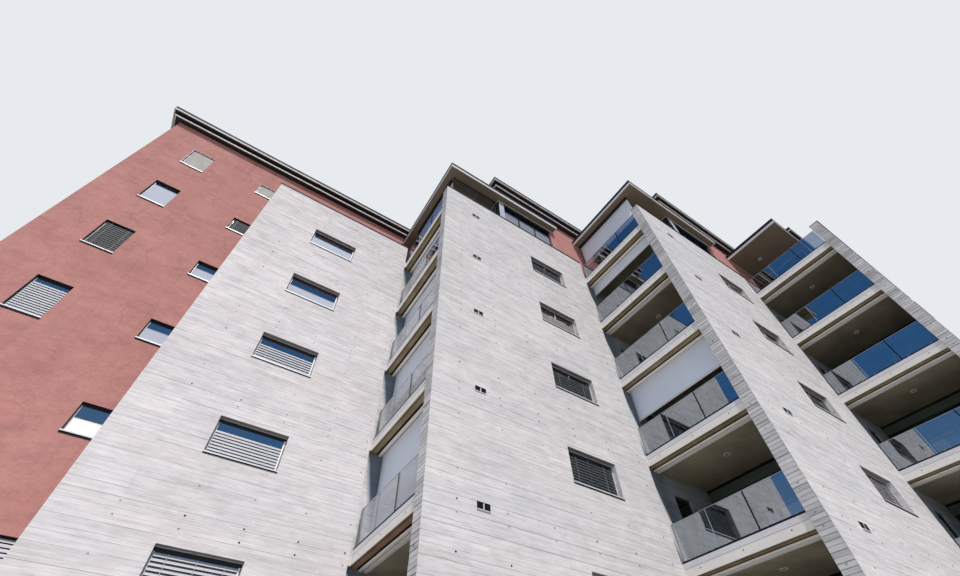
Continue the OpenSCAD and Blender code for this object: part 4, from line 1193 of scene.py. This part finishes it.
# entrance door in the rear wall: frame, glazed leaf, side light, pull bar, threshold
b = Build()
w = Wall("+y", Y3, K1 + 2.6)
z0, z1 = 0.12, 2.42
for a, c in ((0.002, 0.06), (1.02, 1.075), (1.44, 1.498)):
    b.box(w, a, c, 0.105, 0.185, z0, z1 - 0.002, 0)
b.box(w, 0.06, 1.44, 0.105, 0.185, z1 - 0.062, z1 - 0.002, 0)
b.box(w, 0.002, 1.498, 0.10, 0.19, z0, z0 + 0.02, 3)
for a, c in ((0.064, 0.154), (0.926, 1.016)):
    b.bevelbox(w, a, c, 0.112, 0.170, z0 + 0.026, z1 - 0.066, 0.006, 4)
b.box(w, 0.154, 0.926, 0.112, 0.170, z0 + 0.026, z0 + 0.30, 4)
b.box(w, 0.154, 0.926, 0.112, 0.170, z1 - 0.166, z1 - 0.066, 4)
b.box(w, 0.150, 0.930, 0.132, 0.150, z0 + 0.296, z1 - 0.162, 1)
b.box(w, 1.075, 1.44, 0.132, 0.150, z0 + 0.02, z1 - 0.062, 1)
for zz in (z0 + 0.75, z0 + 1.55):
    b.box(w, 0.958, 0.978, 0.062, 0.112, zz, zz + 0.02, 3)
b.prism_z(w, [(0.968 + 0.016 * math.cos(a * math.pi / 6), 0.050 + 0.016 * math.sin(a * math.pi / 6)) for a in range(12)], z0 + 0.62, z0 + 1.70, 3)
make("entrance_door_leaf", b, [FRAME, GLASS_D, RUBBER, ALU, DOOR], ["entrance_door"])

# ---------------------------------------------------------------- floor, light, camera
g = Mat("pale_floor")
a = g.noise((0.4, 0.4, 0.4), 4.0, 0.6)
g.set(Base_Color=g.mix(g.span(a, 0.35, 0.65), (0.66, 0.66, 0.655), (0.63, 0.63, 0.628)), Roughness=0.8)
me = bpy.data.meshes.new("stage_floor")
R = 140.0
me.from_pydata([(-R, -R, 0), (R, -R, 0), (R, R, 0), (-R, R, 0)], [], [(0, 1, 2, 3)])
me.materials.append(g.m)
floor = bpy.data.objects.new("stage_floor", me)
bpy.context.scene.collection.objects.link(floor)
floor.visible_diffuse = False

sc = bpy.context.scene
world = bpy.data.worlds.new("soft_studio")
sc.world = world
world.use_nodes = True
nt = world.node_tree
nt.nodes.clear()
out = nt.nodes.new("ShaderNodeOutputWorld")
lp = nt.nodes.new("ShaderNodeLightPath")
tc = nt.nodes.new("ShaderNodeTexCoord")
sp = nt.nodes.new("ShaderNodeSeparateXYZ")
nt.links.new(tc.outputs["Generated"], sp.inputs[0])


def bg(color, strength):
    n = nt.nodes.new("ShaderNodeBackground")
    if isinstance(color, tuple):
        n.inputs[0].default_value = color + (1,)
    else:
        nt.links.new(color, n.inputs[0])
    n.inputs[1].default_value = strength
    return n.outputs[0]


def ramp(stops):
    n = nt.nodes.new("ShaderNodeValToRGB")
    while len(n.color_ramp.elements) < len(stops):
        n.color_ramp.elements.new(0.5)
    for e, (p, c) in zip(n.color_ramp.elements, stops):
        e.position = p
        e.color = c + (1,)
    h = nt.nodes.new("ShaderNodeMath")
    h.operation = "MULTIPLY_ADD"
    nt.links.new(sp.outputs[2], h.inputs[0])
    h.inputs[1].default_value = 0.5
    h.inputs[2].default_value = 0.5
    nt.links.new(h.outputs[0], n.inputs[0])
    return n.outputs[0]


def mixs(f, a, c):
    n = nt.nodes.new("ShaderNodeMixShader")
    nt.links.new(f, n.inputs[0])
    nt.links.new(a, n.inputs[1])
    nt.links.new(c, n.inputs[2])
    return n.outputs[0]


soft = bg(ramp([(0.0, (0.63, 0.595, 0.54)), (0.47, (0.60, 0.57, 0.52)), (0.53, (0.40, 0.47, 0.60)), (1.0, (0.32, 0.42, 0.60))]), 1.0)
gloss = bg(ramp([(0.0, (0.30, 0.29, 0.27)), (0.49, (0.36, 0.36, 0.35)), (0.52, (0.34, 0.50, 0.72)), (0.75, (0.060, 0.200, 0.46)), (1.0, (0.018, 0.085, 0.27))]), 1.0)
plain = bg((0.80, 0.83, 0.86), 1.0)
nt.links.new(mixs(lp.outputs["Is Camera Ray"], mixs(lp.outputs["Is Glossy Ray"], soft, gloss), plain), out.inputs[0])


def sun(name, toward, strength, color, angle):
    li = bpy.data.lights.new(name, "SUN")
    li.energy, li.color, li.angle = strength, color, math.radians(angle)
    ob = bpy.data.objects.new(name, li)
    sc.collection.objects.link(ob)
    ob.rotation_mode = "QUATERNION"
    ob.rotation_quaternion = Vector(toward).normalized().to_track_quat("Z", "Y")
    return ob


sun("key", (-0.15, -0.60, 0.79), 3.55, (1.0, 0.965, 0.92), 1.5)
sun("rear_fill", (0.45, 0.80, 0.40), 0.9, (0.95, 0.97, 1.0), 20.0)

sc.view_settings.view_transform = "Standard"
sc.view_settings.look = "None"
sc.view_settings.exposure = 0.0

az, el, roll = math.radians(32.427), math.radians(49.539), math.radians(-0.157)
f = Vector((math.cos(el) * math.sin(az), math.cos(el) * math.cos(az), math.sin(el)))
r = Vector((math.cos(az), -math.sin(az), 0))
u = r.cross(f)
r2 = r * math.cos(roll) + u * math.sin(roll)
u2 = -r * math.sin(roll) + u * math.cos(roll)
cam = bpy.data.cameras.new("camera")
cam.sensor_width = 36.0
cam.lens = 447.62 / 960 * 36
cam.shift_x = (480 - 469.237) / 960
cam.shift_y = (314.525 - 288) / 960
cam.clip_start, cam.clip_end = 0.1, 500
co = bpy.data.objects.new("camera", cam)
sc.collection.objects.link(co)
rot = Matrix((r2, u2, -f)).transposed()
co.matrix_world = Matrix.Translation((-8.911, -11.559, 1.70)) @ rot.to_4x4()
sc.camera = co
